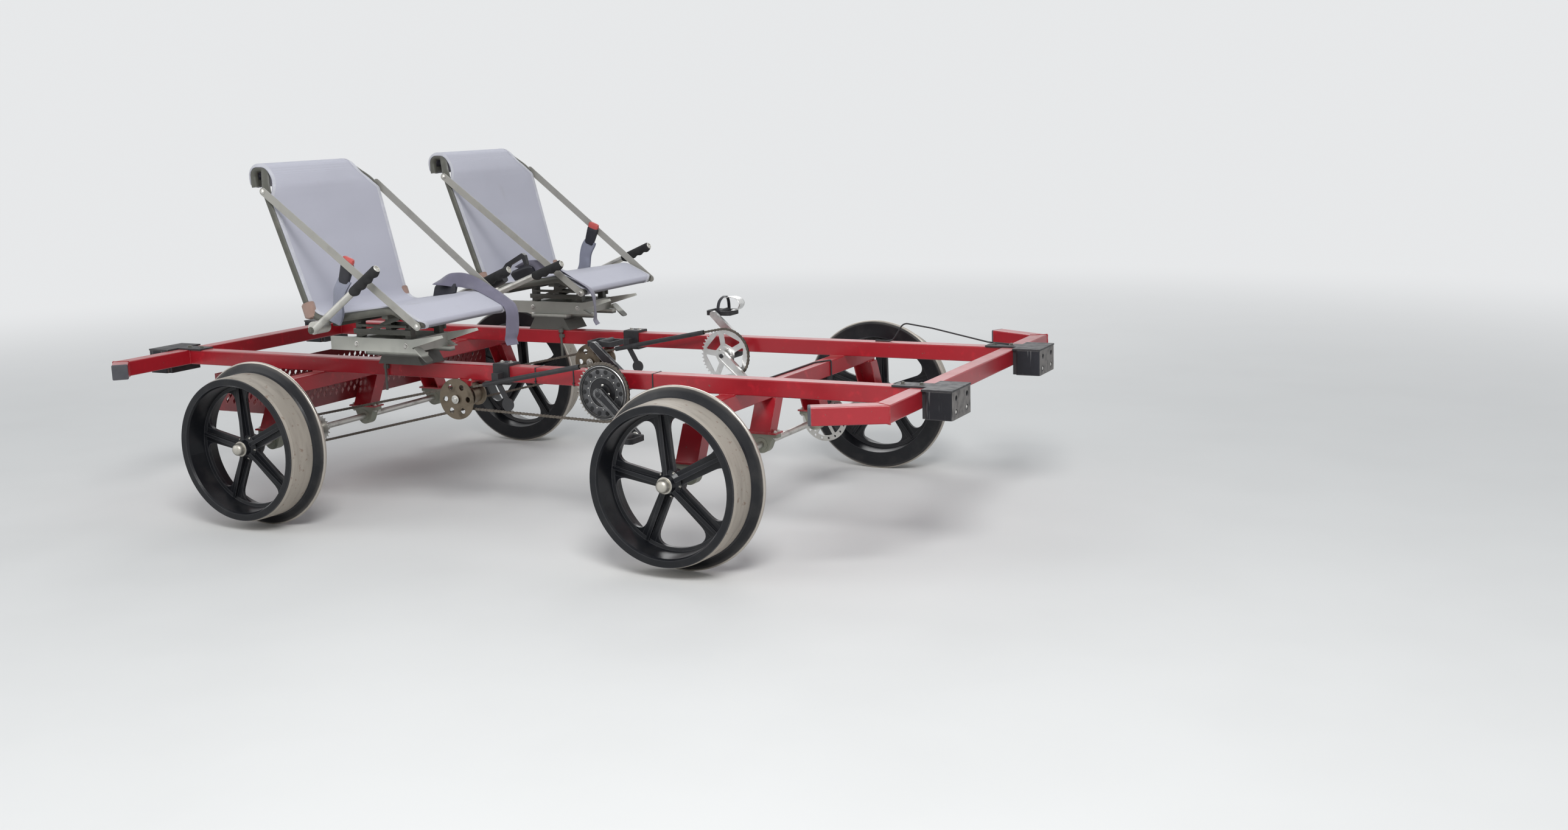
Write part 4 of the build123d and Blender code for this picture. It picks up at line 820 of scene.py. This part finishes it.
# Outboard buckles: a red press button in a black head, on a doubled strap that stands from the seat
BUCKLE_FOOT, BUCKLE_TIP = (-0.440, 0.660), (-0.366, 0.858)
STALK_Y = HALVES[0] + TUBE_R + 0.0043
heads, buttons, straps = Shape(), Shape(), []
for side, sign in SIDES:
    y = sign * (SEAT_Y + STALK_Y)
    foot = Vector((BUCKLE_FOOT[0], y, BUCKLE_FOOT[1]))
    tip = Vector((BUCKLE_TIP[0], y, BUCKLE_TIP[1]))
    along = (tip - foot).normalized()
    forward = Vector((along.z, 0, -along.x))
    reach = (tip - foot).length
    for offset, bow in ((-0.0028, 0.004), (0.0028, 0.009)):
        rows = []
        for i in range(25):
            share = i / 24
            place = (foot + along * (reach * 0.68 * share)
                     + Y_AXIS * (sign * (offset + bow * sin(pi * share) * 0.5)))
            place = place + forward * (0.005 * sin(2.2 * pi * share))
            half = 0.0215 + 0.0025 * share + 0.0012 * sin(9 * share)
            twist = 0.16 * sin(pi * share) + 0.05 * sin(5 * pi * share)
            wide = forward * cos(twist) + Y_AXIS * (sin(twist) * sign)
            rows.append((place, wide * half, wide.cross(along)))
        name = f"buckle_strap_{side}_{'inner' if offset < 0 else 'outer'}"
        straps.append(ribbon(rows, 0.0018).piece(name, "belt_web", "strap_web", angle=60))
    rings = []
    for travel, half, thick in ((0.62, 0.0150, 0.0052), (0.645, 0.0185, 0.0066), (0.72, 0.0200, 0.0076),
                                (0.86, 0.0218, 0.0090), (0.91, 0.0222, 0.0090), (0.930, 0.0205, 0.0075)):
        rings.append(oblong(foot + along * (reach * travel), forward * half, Y_AXIS * thick, 0.4, 0.5))
    heads.rings(rings)
    rings = []
    for travel, half, thick in ((0.915, 0.0195, 0.0082), (0.975, 0.0208, 0.0088), (1.008, 0.0190, 0.0076),
                                (1.018, 0.0135, 0.0048)):
        rings.append(oblong(foot + along * (reach * travel) - forward * 0.001, forward * half,
                            Y_AXIS * thick, 0.4, 0.5, 24))
    buttons.rings(rings)
head_piece = heads.piece("buckle_heads", "buckle_black", angle=50)
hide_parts("belt_buckles")
buttons.piece("buckle_buttons", "buckle_black", "buckle_red", angle=50)

# Webbing loops that anchor the belts to the side tubes at the base of each backrest
anchors = Shape()
for (side, sign), tube_sign in product(SIDES, BOTH):
    at = Vector((-0.5475, sign * SEAT_Y + tube_sign * 0.2245, 0.6945))
    along = Vector((-0.29, 0, 0.957)).normalized()
    out, across = frame_around(along)
    for lane, spread in ((0, 0.0172), (1, 0.0196)):
        rings = []
        for i in range(37):
            turn = 2 * pi * i / 36
            bulge = spread + 0.0016 * sin(3 * turn + lane) + 0.0035 * max(0, cos(turn - 0.6)) ** 3
            spot = at + swung(out, across, turn) * bulge
            arm = swung(out, across, turn) * 0.0008
            half = along * (0.024 - 0.003 * lane + 0.0015 * sin(2 * turn))
            rings.append([spot - half - arm, spot + half - arm, spot + half + arm, spot - half + arm])
        anchors.rings(rings)
anchors.piece("belt_anchors", "belt_web", "anchor_web", angle=50)

# Grips with finger notches and a rounded end
HANDLE_FOOT = (-0.480, 0.642)
HANDLE_Y = 0.292
HANDLE_ROWS = ((-1, -1, -0.222, 0.832), (-1, 1, -0.170, 0.772), (1, -1, -0.170, 0.762),
               (1, 1, -0.170, 0.772))
GRIP_LENGTH = 0.120
GRIP_R = 0.0155
NOTCHES = 4
grips = Shape()
rims = Shape()
for sign, handle_sign, tip_x, tip_z in HANDLE_ROWS:
    y = sign * SEAT_Y + handle_sign * HANDLE_Y
    foot, tip = Vector((HANDLE_FOOT[0], y, HANDLE_FOOT[1])), Vector((tip_x, y, tip_z))
    along = (tip - foot).normalized()
    lower = Vector((along.z, 0, -along.x))
    side_way = lower.cross(along)
    rings = []
    for i in range(73):
        share = i / 72
        travel = -GRIP_LENGTH + share * (GRIP_LENGTH + 0.0055)
        ends = min(1.0, sqrt(max(0.0, share * 18)), sqrt(max(0.0, (1 - share) * 24)))
        ring = []
        for k in range(28):
            turn = 2 * pi * k / 28
            finger = 0.0044 * (0.5 - 0.5 * cos(2 * pi * NOTCHES * share)) * max(0.0, cos(turn)) ** 1.5
            groove = 0.0007 * max(0.0, sin(2 * pi * 22 * share)) ** 4
            radius = (GRIP_R - 0.0028 + 0.0028 * ends) + finger - 0.0012 - groove
            radius = min(radius, 0.0186)
            ring.append(tip + along * travel + swung(lower, side_way, turn) * radius)
        rings.append(ring)
    grips.rings(rings)
    rims.turned(tip + along * 0.0050, along, [(0, 0.0112), (0.0022, 0.0112), (0.0030, 0.0104),
                                              (0.0030, 0.0082), (0.0006, 0.0078)], 24)
grip_piece = grips.piece("grip_sleeves", "grip_foam", angle=60)
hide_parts("grips")
rims.piece("handle_ends", "stay_silver")

# Chains: plates and rollers along the pitch line of each run
CHAIN_PITCH = 0.0127
CHAIN_LINE, OUTPUT_LINE = 0.066, 0.046


def pitch_radius(teeth):
    return CHAIN_PITCH / (2 * sin(pi / teeth))


def loop_line(wheels):
    """Pins around a closed run of two wheels, with the way each faces and whether it runs free."""
    pieces = []
    normals = []
    for i in range(2):
        (x0, z0, r0), (x1, z1, r1) = wheels[i], wheels[1 - i]
        normals.append(atan2(z1 - z0, x1 - x0) - acos((r0 - r1) / hypot(x1 - x0, z1 - z0)))
    for i in range(2):
        x, z, r = wheels[i]
        start = normals[i - 1]
        turn = (normals[i] - start) % (2 * pi)
        pieces.append(("arc", r * turn, (x, z, r, start)))
        x1, z1, r1 = wheels[1 - i]
        ends = [Vector((cx + cr * cos(normals[i]), 0, cz + cr * sin(normals[i])))
                for cx, cz, cr in ((x, z, r), (x1, z1, r1))]
        pieces.append(("run", (ends[1] - ends[0]).length, ends))
    total = sum(length for _, length, _ in pieces)
    count = round(total / CHAIN_PITCH / 2) * 2
    pins = []
    for i in range(count):
        travel = total * i / count
        for kind, length, data in pieces:
            if travel <= length:
                break
            travel -= length
        if kind == "arc":
            x, z, r, start = data
            angle = start + travel / r
            pins.append((Vector((x + r * cos(angle), 0, z + r * sin(angle))), False))
        else:
            pins.append((data[0].lerp(data[1], travel / length), True))
    return pins


def link_plate(shape, first, second, y, thickness, height, waist):
    """Plate with two round ends and a narrow waist."""
    along = (second - first).normalized()
    up = Vector((-along.z, 0, along.x))
    middle_point = (first + second) / 2
    outline = []
    for centre, way in ((second, 1), (first, -1)):
        for k in range(7):
            turn = -pi / 2 + pi * k / 6
            outline.append(centre + along * (way * cos(turn) * height) + up * (way * sin(turn) * height))
        outline.append(middle_point + up * (way * waist))
    shape.rings([[spot + Y_AXIS * (y + half) for spot in outline]
                 for half in (-thickness / 2, thickness / 2)])


HUB_AT = (-0.167, 0.399)
CRANK_AT = (0.370, 0.445)
PRIMARY = ((*CRANK_AT, pitch_radius(44)), (*HUB_AT, pitch_radius(14)))
SECONDARY = ((*HUB_AT, pitch_radius(18)), (AXLE["rear"].x, AXLE["rear"].z, pitch_radius(22)))
for side, sign in SIDES:
    links = Shape()
    for wheels, line in ((PRIMARY, CHAIN_LINE), (SECONDARY, OUTPUT_LINE)):
        y = RAIL[side].y - line
        pins = loop_line(wheels)
        for i, (pin, free) in enumerate(pins):
            after = pins[(i + 1) % len(pins)][0]
            gap = 0.0030 if i % 2 else 0.0021
            for face in BOTH:
                link_plate(links, pin, after, y + face * gap, 0.0008, 0.0042, 0.0029)
            links.turned(pin + Y_AXIS * (y - 0.0038), Y_AXIS, [(0, 0.0015), (0.0004, 0.0019)], 7)
            links.turned(pin + Y_AXIS * (y + 0.0034), Y_AXIS, [(0, 0.0019), (0.0004, 0.0015)], 7)
            if free:
                links.turned(pin + Y_AXIS * (y - 0.0017), Y_AXIS, [(0, 0.0038), (0.0034, 0.0038)], 9)
    chain = links.piece(f"chain_links_{side}", "chain_steel", angle=40)
    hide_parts(f"chains_{side}")

# Bolts, nuts and buttons on the fixed parts
RAIL_Y = RAIL["left"].y
AXLE_X = AXLE["front"].x
LEG_TOPS = (0.590, 0.140)
LEG_FEET = (0.640, 0.190)
FOOT_TOP = AXLE["front"].z + 0.038
BEAM_LOW = RAIL_LOW - TUBE
bolts, dark_bolts, welds, hole_shades = Shape(), Shape(), Shape(), Shape()
for end, end_sign in ENDS:
    x = end_sign * AXLE_X
    for sign in BOTH:
        for foot_y, dx, dy in product(LEG_FEET, (-0.0455, 0.0455), (-0.0105, 0.0105)):
            bolts.bolt((x + dx, sign * foot_y + dy, FOOT_TOP), Z_AXIS, 0.0050, 0.0042,
                       spin=dx * 30 + dy * 50)
            bolts.bolt((x + dx, sign * foot_y + dy, FOOT_TOP - 0.017), -Z_AXIS, 0.0050, 0.0042,
                       spin=dy * 90)
        bumper_x = end_sign * 1.485
        for dy in (-0.042, 0.042):
            bolts.button((bumper_x - end_sign * 0.0060, sign * RAIL_Y + dy, 0.444), (end_sign, 0, 0),
                         0.0072, 0.0055)
            # Black cup with a rim in each hole of the bumper face: painted shade for the dark inside of the
            # hole
            hole_shades.turned((bumper_x - end_sign * 0.0010, sign * RAIL_Y + dy, 0.482), X_AXIS * end_sign,
                            [(-0.006, 0.0110), (-0.006, 0.0140), (0.0004, 0.0140), (0.0008, 0.0132),
                             (-0.0012, 0.0112), (-0.0030, 0.0100)], 28)
        for dx in (1.312, 1.368):
            dark_bolts.bolt((end_sign * dx, sign * RAIL_Y, 0.507), Z_AXIS, 0.0060, 0.0045, spin=dx)
for side, sign in SIDES:
    y = RAIL[side].y
    clamp = TUBE / 2 + 0.008
    for dx in (-0.016, 0.016):
        bolts.bolt((-0.025 + dx, y, RAIL[side].z + clamp), Z_AXIS, 0.0055, 0.0045, spin=dx * 20)
        bolts.bolt((-0.025 + dx, y + clamp, RAIL[side].z), Y_AXIS, 0.0055, 0.0045, spin=dx * 33)
    for dx, dy in product((-0.022, 0.022), (-0.032, 0.032)):
        bolts.bolt((HUB_AT[0] + dx, y + dy, RAIL_LOW), Z_AXIS, 0.0045, 0.0038, spin=dy * 9)
    for plate_sign, x in product(BOTH, (-0.455, -0.262)):
        bolts.bolt((x, sign * 0.480 + plate_sign * 0.095, 0.579), (0, plate_sign, 0), 0.0062, 0.0045, spin=x)
    for tube_sign, index in product(BOTH, (0, 3)):
        y_out = sign * SEAT_Y + tube_sign * (HALVES[index] + TUBE_R + 0.0033)
        bolts.bolt((PROFILE[index][0], y_out, PROFILE[index][1]), (0, tube_sign, 0), 0.0052, 0.0035,
                   spin=index)
for sign, handle_sign, _, _ in HANDLE_ROWS:
    y = sign * SEAT_Y + handle_sign * (HANDLE_Y + 0.0108)
    dark_bolts.bolt((HANDLE_FOOT[0], y, HANDLE_FOOT[1] + 0.002), (0, handle_sign, 0), 0.0075, 0.0050)
bolts.piece("bolts", "steel")
hole_shades.piece("bumper_hole_shades", "grip_foam")
dark_bolts.piece("dark_bolts", "seat_tube")

# Weld beads where the square tubes meet
for end, end_sign in ENDS:
    x = end_sign * AXLE_X
    for sign in BOTH:
        for top_y, foot_y in zip(LEG_TOPS, LEG_FEET):
            for dx in (-TUBE / 2, TUBE / 2):
                welds.bead((x + dx, sign * top_y - 0.025, BEAM_LOW),
                           (x + dx, sign * top_y + 0.025, BEAM_LOW), seed=top_y * 7 + dx)
            for dx in (-0.0352, 0.0352):
                welds.bead((x + dx, sign * foot_y + sign * 0.021, FOOT_TOP),
                           (x + dx, sign * foot_y + sign * 0.0245, FOOT_TOP), 0.0022, seed=dx)
            welds.bead((x - 0.034, sign * (foot_y + 0.0252), FOOT_TOP),
                       (x + 0.034, sign * (foot_y + 0.0252), FOOT_TOP), 0.0024, seed=foot_y)
        for side_way in BOTH:
            y = sign * RAIL_Y + side_way * TUBE / 2
            welds.bead((x - 0.025, y, RAIL_LOW), (x + 0.025, y, RAIL_LOW), seed=y)
            welds.bead((x + side_way * 0.025, sign * RAIL_Y - 0.025, RAIL_LOW),
                       (x + side_way * 0.025, sign * RAIL_Y + 0.025, RAIL_LOW), seed=x)
            joint = end_sign * 1.345
            welds.bead((joint, y, RAIL_LOW + 0.001), (joint, y, RAIL_TOP - 0.001), seed=y * 3)
        welds.bead((end_sign * 1.345, sign * RAIL_Y - 0.025, RAIL_TOP),
                   (end_sign * 1.345, sign * RAIL_Y + 0.025, RAIL_TOP), 0.0022, seed=sign)
for end_sign, bend_y, run_x, run_y in ((1, 0.665, -0.170, 0.085), (-1, 0.690, 0.055, 0.055)):
    along = Vector((run_x, run_y, 0)).normalized()
    normal = (along + Y_AXIS).normalized()
    cut = Vector((-normal.y, normal.x, 0))
    cut *= 0.0252 / abs(cut.x)
    for sign in BOTH:
        spots = [Vector((end_sign * 1.370 + s * cut.x, sign * (bend_y + s * cut.y), 0)) for s in BOTH]
        for z, size in ((RAIL_TOP, 0.0018), (RAIL_LOW, 0.0024)):
            welds.bead(spots[0] + Z_AXIS * z, spots[1] + Z_AXIS * z, size, seed=bend_y)
        for spot in spots:
            welds.bead(spot + Z_AXIS * (RAIL_LOW + 0.001), spot + Z_AXIS * (RAIL_TOP - 0.001), 0.0020,
                       seed=spot.x)
for (side, sign), face in product(SIDES, BOTH):
    y = RAIL[side].y
    welds.ripple([Vector((CRANK_AT[0] + 0.0204 * cos(t), y + face * TUBE / 2, CRANK_AT[1] + 0.0204 * sin(t)))
                  for t in (radians(22 + 8 * k) for k in range(18))], 0.0020, seed=face)
    welds.bead((HUB_AT[0] - 0.030, y + face * 0.0252, RAIL_LOW - 0.0005),
               (HUB_AT[0] + 0.030, y + face * 0.0252, RAIL_LOW - 0.0005), 0.0022, seed=face)
welds.piece("weld_beads", "frame_red", angle=70)

# Ties that hold the brake cable to the right main rail
ties = Shape()
y = RAIL["right"].y
loop = ((y - 0.0262, RAIL_LOW - 0.0008), (y - 0.0262, RAIL_TOP + 0.0008), (y + 0.0250, RAIL_TOP + 0.0010),
        (y + 0.0395, 0.4842), (y + 0.0395, 0.4798), (y + 0.0250, RAIL_LOW - 0.0010))
for x in (0.10, 0.24, 0.52):
    outer = [Vector((x, a, b)) for a, b in loop]
    centre = sum(outer, Vector()) / len(outer)
    rings = []
    for dx, grow in ((-0.0022, -0.0012), (-0.0022, 0), (-0.0012, 0.0008), (0.0012, 0.0008), (0.0022, 0),
                     (0.0022, -0.0012)):
        rings.append([spot + (spot - centre).normalized() * grow + X_AXIS * dx for spot in outer])
    ties.rings(rings, caps=False)
    ties.turned((x, y - 0.030, RAIL_LOW + 0.008), Y_AXIS, [(0, 0.0036), (0.004, 0.0042)], 4, pi / 4)
ties.piece("cable_ties", "guide_black")

# Cap nuts on the ends of the axles, and the fillets between each wheel's spokes, rim and hub
SPOKE_HALF = ((0.019, 0.007), (0.023, 0.005))      # across and through, at the hub and at the rim
SPOKE_AT = ((0.024, 0.066), (0.192, 0.054))        # radius and distance out of each end
WHEEL_TURN = {"left": 0, "right": radians(9)}      # how far each side's wheels stand round
FILLET_R = 0.044


def spoke_half(radius):
    """Half a spoke's width and its middle's distance out from the flange's back."""
    share = (radius - SPOKE_AT[0][0]) / (SPOKE_AT[1][0] - SPOKE_AT[0][0])
    return [a + share * (b - a) for a, b in zip((SPOKE_HALF[0][0], SPOKE_AT[0][1], SPOKE_HALF[0][1]),
                                                (SPOKE_HALF[1][0], SPOKE_AT[1][1], SPOKE_HALF[1][1]))]


def spoke_fillet(shape, axle, sign, turn, hand, wheel_r, inner):
    """Curved web in the corner between a spoke's side and a round surface."""
    outline = []
    way = 1 if inner else -1
    half, _, _ = spoke_half(wheel_r)
    corner = (sqrt(wheel_r ** 2 - half ** 2), half)
    reach = FILLET_R * (0.45 if inner else 1.0)
    along_spoke = (corner[0] + way * reach, spoke_half(corner[0] + way * reach)[0])
    swing = min(asin(half / wheel_r) + reach / wheel_r, pi / 5)
    on_wheel = (wheel_r * cos(swing), wheel_r * sin(swing))
    for k in range(9):
        t = k / 8
        outline.append(tuple((1 - t) ** 2 * a + 2 * t * (1 - t) * c + t * t * b
                             for a, c, b in zip(along_spoke, corner, on_wheel)))
    for k in range(4):
        angle = swing + (asin(half / wheel_r) - 0.05 - swing) * k / 3
        outline.append(((wheel_r - way * 0.004) * cos(angle), (wheel_r - way * 0.004) * sin(angle)))
    outline.append((along_spoke[0], along_spoke[1] - 0.006))
    out = swung(X_AXIS, Z_AXIS, turn)
    across = swung(Z_AXIS, -X_AXIS, turn) * hand
    rings = []
    for share in (-1, -0.7, 0.7, 1):
        ring = []
        for a, b in outline:
            _, depth, thick = spoke_half(hypot(a, b))
            spot = axle + out * a + across * b
            spot.y = sign * (WHEEL_BACK_Y + depth + share * thick)
            ring.append(spot)
        rings.append(ring)
    shape.rings(rings)


for end, end_sign in ENDS:
    studs, fillets = Shape(), Shape()
    for side, sign in SIDES:
        at = Vector((AXLE[end].x, sign * 0.7890, AXLE[end].z))
        studs.turned(at, Y_AXIS * sign, [(-0.001, 0.0240), (0.0020, 0.0240), (0.0028, 0.0230),
                                         (0.0030, 0.0198), (0.0120, 0.0194), (0.0175, 0.0178),
                                         (0.0215, 0.0146), (0.0240, 0.0100), (0.0250, 0.0045)], 28)
        for k in range(5):
            turn = pi / 2 + WHEEL_TURN[side] + 2 * pi * k / 5
            for hand in BOTH:
                spoke_fillet(fillets, AXLE[end], sign, turn, hand, 0.1870, False)
                spoke_fillet(fillets, AXLE[end], sign, turn, hand, 0.0375, True)
            turn += pi / 5
            spot = AXLE[end] + swung(X_AXIS, Z_AXIS, turn) * 0.0325
            spot.y = sign * (WHEEL_BACK_Y + 0.0785)
            studs.bolt(spot, Y_AXIS * sign, 0.0036, 0.0028, washer=0.0008, spin=turn)
    studs.piece(f"cap_nuts_{end}", "steel", "cap_nut", body=f"{end}_wheelset")
    fillets.piece(f"spoke_fillets_{end}", "wheel_black", f"wheel_black_{end}", body=f"{end}_wheelset",
                  angle=30)

# Cranksets: spindle bolts, chainring bolts, and the pins and end caps of the pedals
PEDAL_OFFSET = 0.088
ARM_FACE = PEDAL_OFFSET + 0.007
CRANK_LENGTH = 0.170
CRANK_ANGLE = -43
for side, sign in SIDES:
    rail_y = RAIL[side].y
    ring_y = rail_y - CHAIN_LINE
    body = f"crankset_{side}"
    centre = Vector((*CRANK_AT[:1], rail_y, CRANK_AT[1]))
    hardware, caps = Shape(), Shape()
    for arm_sign, angle in ((-1, CRANK_ANGLE), (1, CRANK_ANGLE + 180)):
        face = Y_AXIS * arm_sign
        caps.button(centre + face * ARM_FACE, face, 0.0078, 0.0035)
        out = swung(X_AXIS, Z_AXIS, radians(angle))
        eye = centre + out * CRANK_LENGTH
        hardware.turned(eye + face * (ARM_FACE - 0.0002), face,
                        [(0, 0.0098), (0.0016, 0.0098), (0.0022, 0.0090)], 20)
        hardware.turned(eye + face * (ARM_FACE + 0.0018), face, [(0, 0.0085), (0.0060, 0.0085)], 6)
        outer = eye + face * (ARM_FACE + 0.100)
        caps.turned(outer, face, [(-0.0002, 0.0085), (0.0022, 0.0080), (0.0034, 0.0050)], 16)
        for dx, step, rise in product((-0.043, 0.043), range(7), BOTH):
            spot = eye + face * (ARM_FACE + 0.034 + 0.0087 * step) + X_AXIS * dx
            caps.turned(spot + Z_AXIS * (0.0078 * rise), Z_AXIS * rise,
                        [(0, 0.0022), (0.0016, 0.0012), (0.0021, 0.0006)], 6)
    ring_bolts = 5 if side == "left" else 4
    for k in range(ring_bolts):
        turn = radians(CRANK_ANGLE + 36) + 2 * pi * k / ring_bolts
        spot = centre + swung(X_AXIS, Z_AXIS, turn) * 0.0235
        spot.y = ring_y - 0.006
        hardware.button(spot, -Y_AXIS, 0.0042, 0.0022)
    if side == "right":
        face_at = centre.copy()
        face_at.y = ring_y - 0.0018
        plate, guard, pocket_shades = Shape(), Shape(), Shape()
        plate.hoop(face_at, -Y_AXIS, [(0, 0.0450), (0, 0.0725), (0.0012, 0.0722), (0.0016, 0.0715),
                                      (0.0016, 0.0460), (0.0010, 0.0450)])
        guard.hoop(face_at, -Y_AXIS, [(0, 0.0738), (0, 0.0815), (0.0016, 0.0812), (0.0030, 0.0795),
                                      (0.0030, 0.0758), (0.0018, 0.0740)])
        for k in range(14):
            turn = 2 * pi * k / 14
            spot = face_at + swung(X_AXIS, Z_AXIS, turn) * 0.0640
            # Black discs round the plate: painted shade for the dark pockets of the chainring
            pocket_shades.turned(spot - Y_AXIS * 0.0012, -Y_AXIS,
                           [(0, 0.0072), (0.0008, 0.0072), (0.0011, 0.0062)], 14)
            spot = face_at + swung(X_AXIS, Z_AXIS, turn + pi / 14) * 0.0515
            hardware.button(spot - Y_AXIS * 0.0014, -Y_AXIS, 0.0021, 0.0010)
        plate.piece("ring_plate", "ring_black", "ring_plate", body=body)
        guard.piece("ring_guard", "ring_silver", body=body)
        pocket_shades.piece("ring_pocket_shades", "grip_foam", body=body)
    hardware.piece(f"crank_hardware_{side}", "steel", body=body)
    caps.piece(f"crank_caps_{side}", "pedal_black", body=body)

    hub = Shape()
    pin_y = (rail_y + 0.041, ring_y - 0.020)
    for y, way in zip(pin_y, (1, -1)):
        hub.bolt((HUB_AT[0], y, HUB_AT[1]), (0, way, 0), 0.0090, 0.0065, spin=0.4)
    hub.piece(f"hub_nuts_{side}", "steel")

# Toe clip and strap on the left crankset's inboard pedal
out = swung(X_AXIS, Z_AXIS, radians(CRANK_ANGLE + 180))
eye = Vector((CRANK_AT[0], RAIL["left"].y, CRANK_AT[1])) + out * CRANK_LENGTH
cage = eye + Y_AXIS * (ARM_FACE + 0.060)
line = eased([cage + Vector(spot) for spot in (
    (0.040, 0, 0.0085), (0.052, 0, 0.0080), (0.070, 0, 0.016), (0.078, 0, 0.034), (0.066, 0, 0.050),
    (0.040, 0, 0.056), (0.014, 0, 0.052))], 6)
rows = [(place, Y_AXIS * (0.011 + 0.010 * sin(pi * i / (len(line) - 1))), Y_AXIS.cross(ahead))
        for i, (place, ahead) in enumerate(headed(line))]
ribbon(rows, 0.0022).piece("toe_clip", "arm_silver", body="crankset_left", angle=60)
line = eased([cage + Vector(spot) for spot in (
    (0.004, -0.036, -0.012), (0.004, -0.042, 0.010), (0.006, -0.034, 0.040), (0.010, -0.012, 0.0555),
    (0.010, 0.012, 0.0555), (0.006, 0.034, 0.040), (0.004, 0.042, 0.010), (0.004, 0.036, -0.012))], 6)
rows = [(place, X_AXIS * 0.0060, X_AXIS.cross(ahead)) for place, ahead in headed(line)]
ribbon(rows, 0.0020).piece("toe_strap", "buckle_black", body="crankset_left", angle=60)

# Runners and braces under each seat, between its legs
braces = Shape()
for (side, sign), way in product(SIDES, BOTH):
    y = sign * 0.480 + way * 0.070
    for low, high, half, start, end in ((0.6110, 0.6270, 0.0045, -0.470, -0.246),
                                        (0.6340, 0.6420, 0.0035, -0.455, -0.262)):
        outer = [(-half, low), (half, low), (half + 0.0012, (low + high) / 2), (half, high), (-half, high),
                 (-half - 0.0012, (low + high) / 2)]
        braces.rings([[Vector((x, y + way * 0.0150 + a * (1 if 0 < k < 3 else 0.7), b)) for a, b in outer]
                      for k, x in enumerate((start, start + 0.004, end - 0.004, end))])
    path = eased([(-0.452, y + way * 0.0150, 0.606), (-0.400, y + way * 0.0160, 0.622),
                  (-0.330, y + way * 0.0160, 0.652), (-0.290, y + way * 0.0130, 0.664)], 6)
    rows = [(place, Y_AXIS.cross(ahead) * 0.007, Y_AXIS) for place, ahead in headed(path)]
    braces.merge(ribbon(rows, 0.004))
braces.piece("seat_braces", "seat_tube")

# Camera at the photograph's viewpoint
CAMERA_AT = Vector((3.027, -4.564, 1.277))
CAMERA_AZIMUTH = radians(26.54)
CAMERA_DOWN = radians(10.67)
CAMERA_ROLL = radians(-1.71)
CAMERA_LENS = 37.785

back = Vector((sin(CAMERA_AZIMUTH) * cos(CAMERA_DOWN), -cos(CAMERA_AZIMUTH) * cos(CAMERA_DOWN),
               sin(CAMERA_DOWN)))
level_right = (-back).cross(Z_AXIS).normalized()
level_up = level_right.cross(-back)
right = level_right * cos(CAMERA_ROLL) + level_up * sin(CAMERA_ROLL)
up = level_up * cos(CAMERA_ROLL) - level_right * sin(CAMERA_ROLL)
camera_data = bpy.data.cameras.new("camera")
camera_data.lens = CAMERA_LENS
camera_data.sensor_width = 36
camera = placed("camera", camera_data)
camera.matrix_world = Matrix.Translation(CAMERA_AT) @ Matrix((right, up, back)).transposed().to_4x4()
bpy.context.scene.camera = camera

# Floor that keeps the shadow, and a pale world behind it
BACKDROP = (0.80, 0.81, 0.82)
FLOOR_SIZE = 60
floor_mesh = bpy.data.meshes.new("floor")
corner = FLOOR_SIZE / 2
floor_mesh.from_pydata([(-corner, -corner, 0), (corner, -corner, 0), (corner, corner, 0),
                        (-corner, corner, 0)], [], [(0, 1, 2, 3)])
floor = placed("floor", floor_mesh)
floor_finish = Finish("floor", (0.74, 0.74, 0.73), 0.9)
floor_finish.paint(floor_finish.patches(0.3, 0.8, 2, 3), (0.72, 0.72, 0.71))
floor_mesh.materials.append(floor_finish.material)


def backdrop_rays(graph):
    """1 for rays that show the backdrop to the camera, straight, in gloss or through glass."""
    path = graph.node("ShaderNodeLightPath").outputs
    shown = path["Is Camera Ray"]
    for name in ("Is Glossy Ray", "Is Transmission Ray"):
        shown = graph.math("MAXIMUM", shown, path[name])
    return shown


# The floor runs into the backdrop's colour away from the object
far = floor_finish.node("ShaderNodeVectorMath", {0: floor_finish.place}, operation="LENGTH").outputs["Value"]
far = floor_finish.times(floor_finish.band(far, 2.2, 8.0), backdrop_rays(floor_finish))
pale = floor_finish.node("ShaderNodeEmission", {"Color": (*BACKDROP, 1), "Strength": 1.0})
floor_mix = floor_finish.node("ShaderNodeMixShader", {0: far, 1: floor_finish.shader.outputs[0],
                                                      2: pale.outputs[0]})
floor_finish.set(floor_finish.tree.nodes["Material Output"], "Surface", floor_mix.outputs[0])

world = bpy.data.worlds.new("world")
bpy.context.scene.world = world
world.use_nodes = True
sky = Graph(world.node_tree)
light = sky.tree.nodes["Background"]
sky.set(light, "Color", (0.90, 0.95, 1.0, 1))
sky.set(light, "Strength", 0.45)
shown = sky.node("ShaderNodeBackground", {"Color": (*BACKDROP, 1), "Strength": 1.0})
mix = sky.node("ShaderNodeMixShader", {0: backdrop_rays(sky), 1: light.outputs[0], 2: shown.outputs[0]})
sky.set(sky.tree.nodes["World Output"], "Surface", mix.outputs[0])

# Each lamp: name, place, size, power
LAMPS = (
    ("key", (2.9, -4.0, 4.4), 2.0, 225),
    ("fill", (-3.8, -4.2, 3.0), 3.5, 55),
    ("back", (-1.5, 4.5, 3.6), 3.0, 75),
)
for name, place, size, power in LAMPS:
    lamp = bpy.data.lights.new(name, "AREA")
    lamp.size = size
    lamp.energy = power
    lamp_object = placed(name, lamp)
    lamp_object.location = place
    aim = Vector((0, 0, 0.5)) - Vector(place)
    lamp_object.rotation_euler = aim.to_track_quat("-Z", "Y").to_euler()

bpy.context.scene.view_settings.view_transform = "Standard"
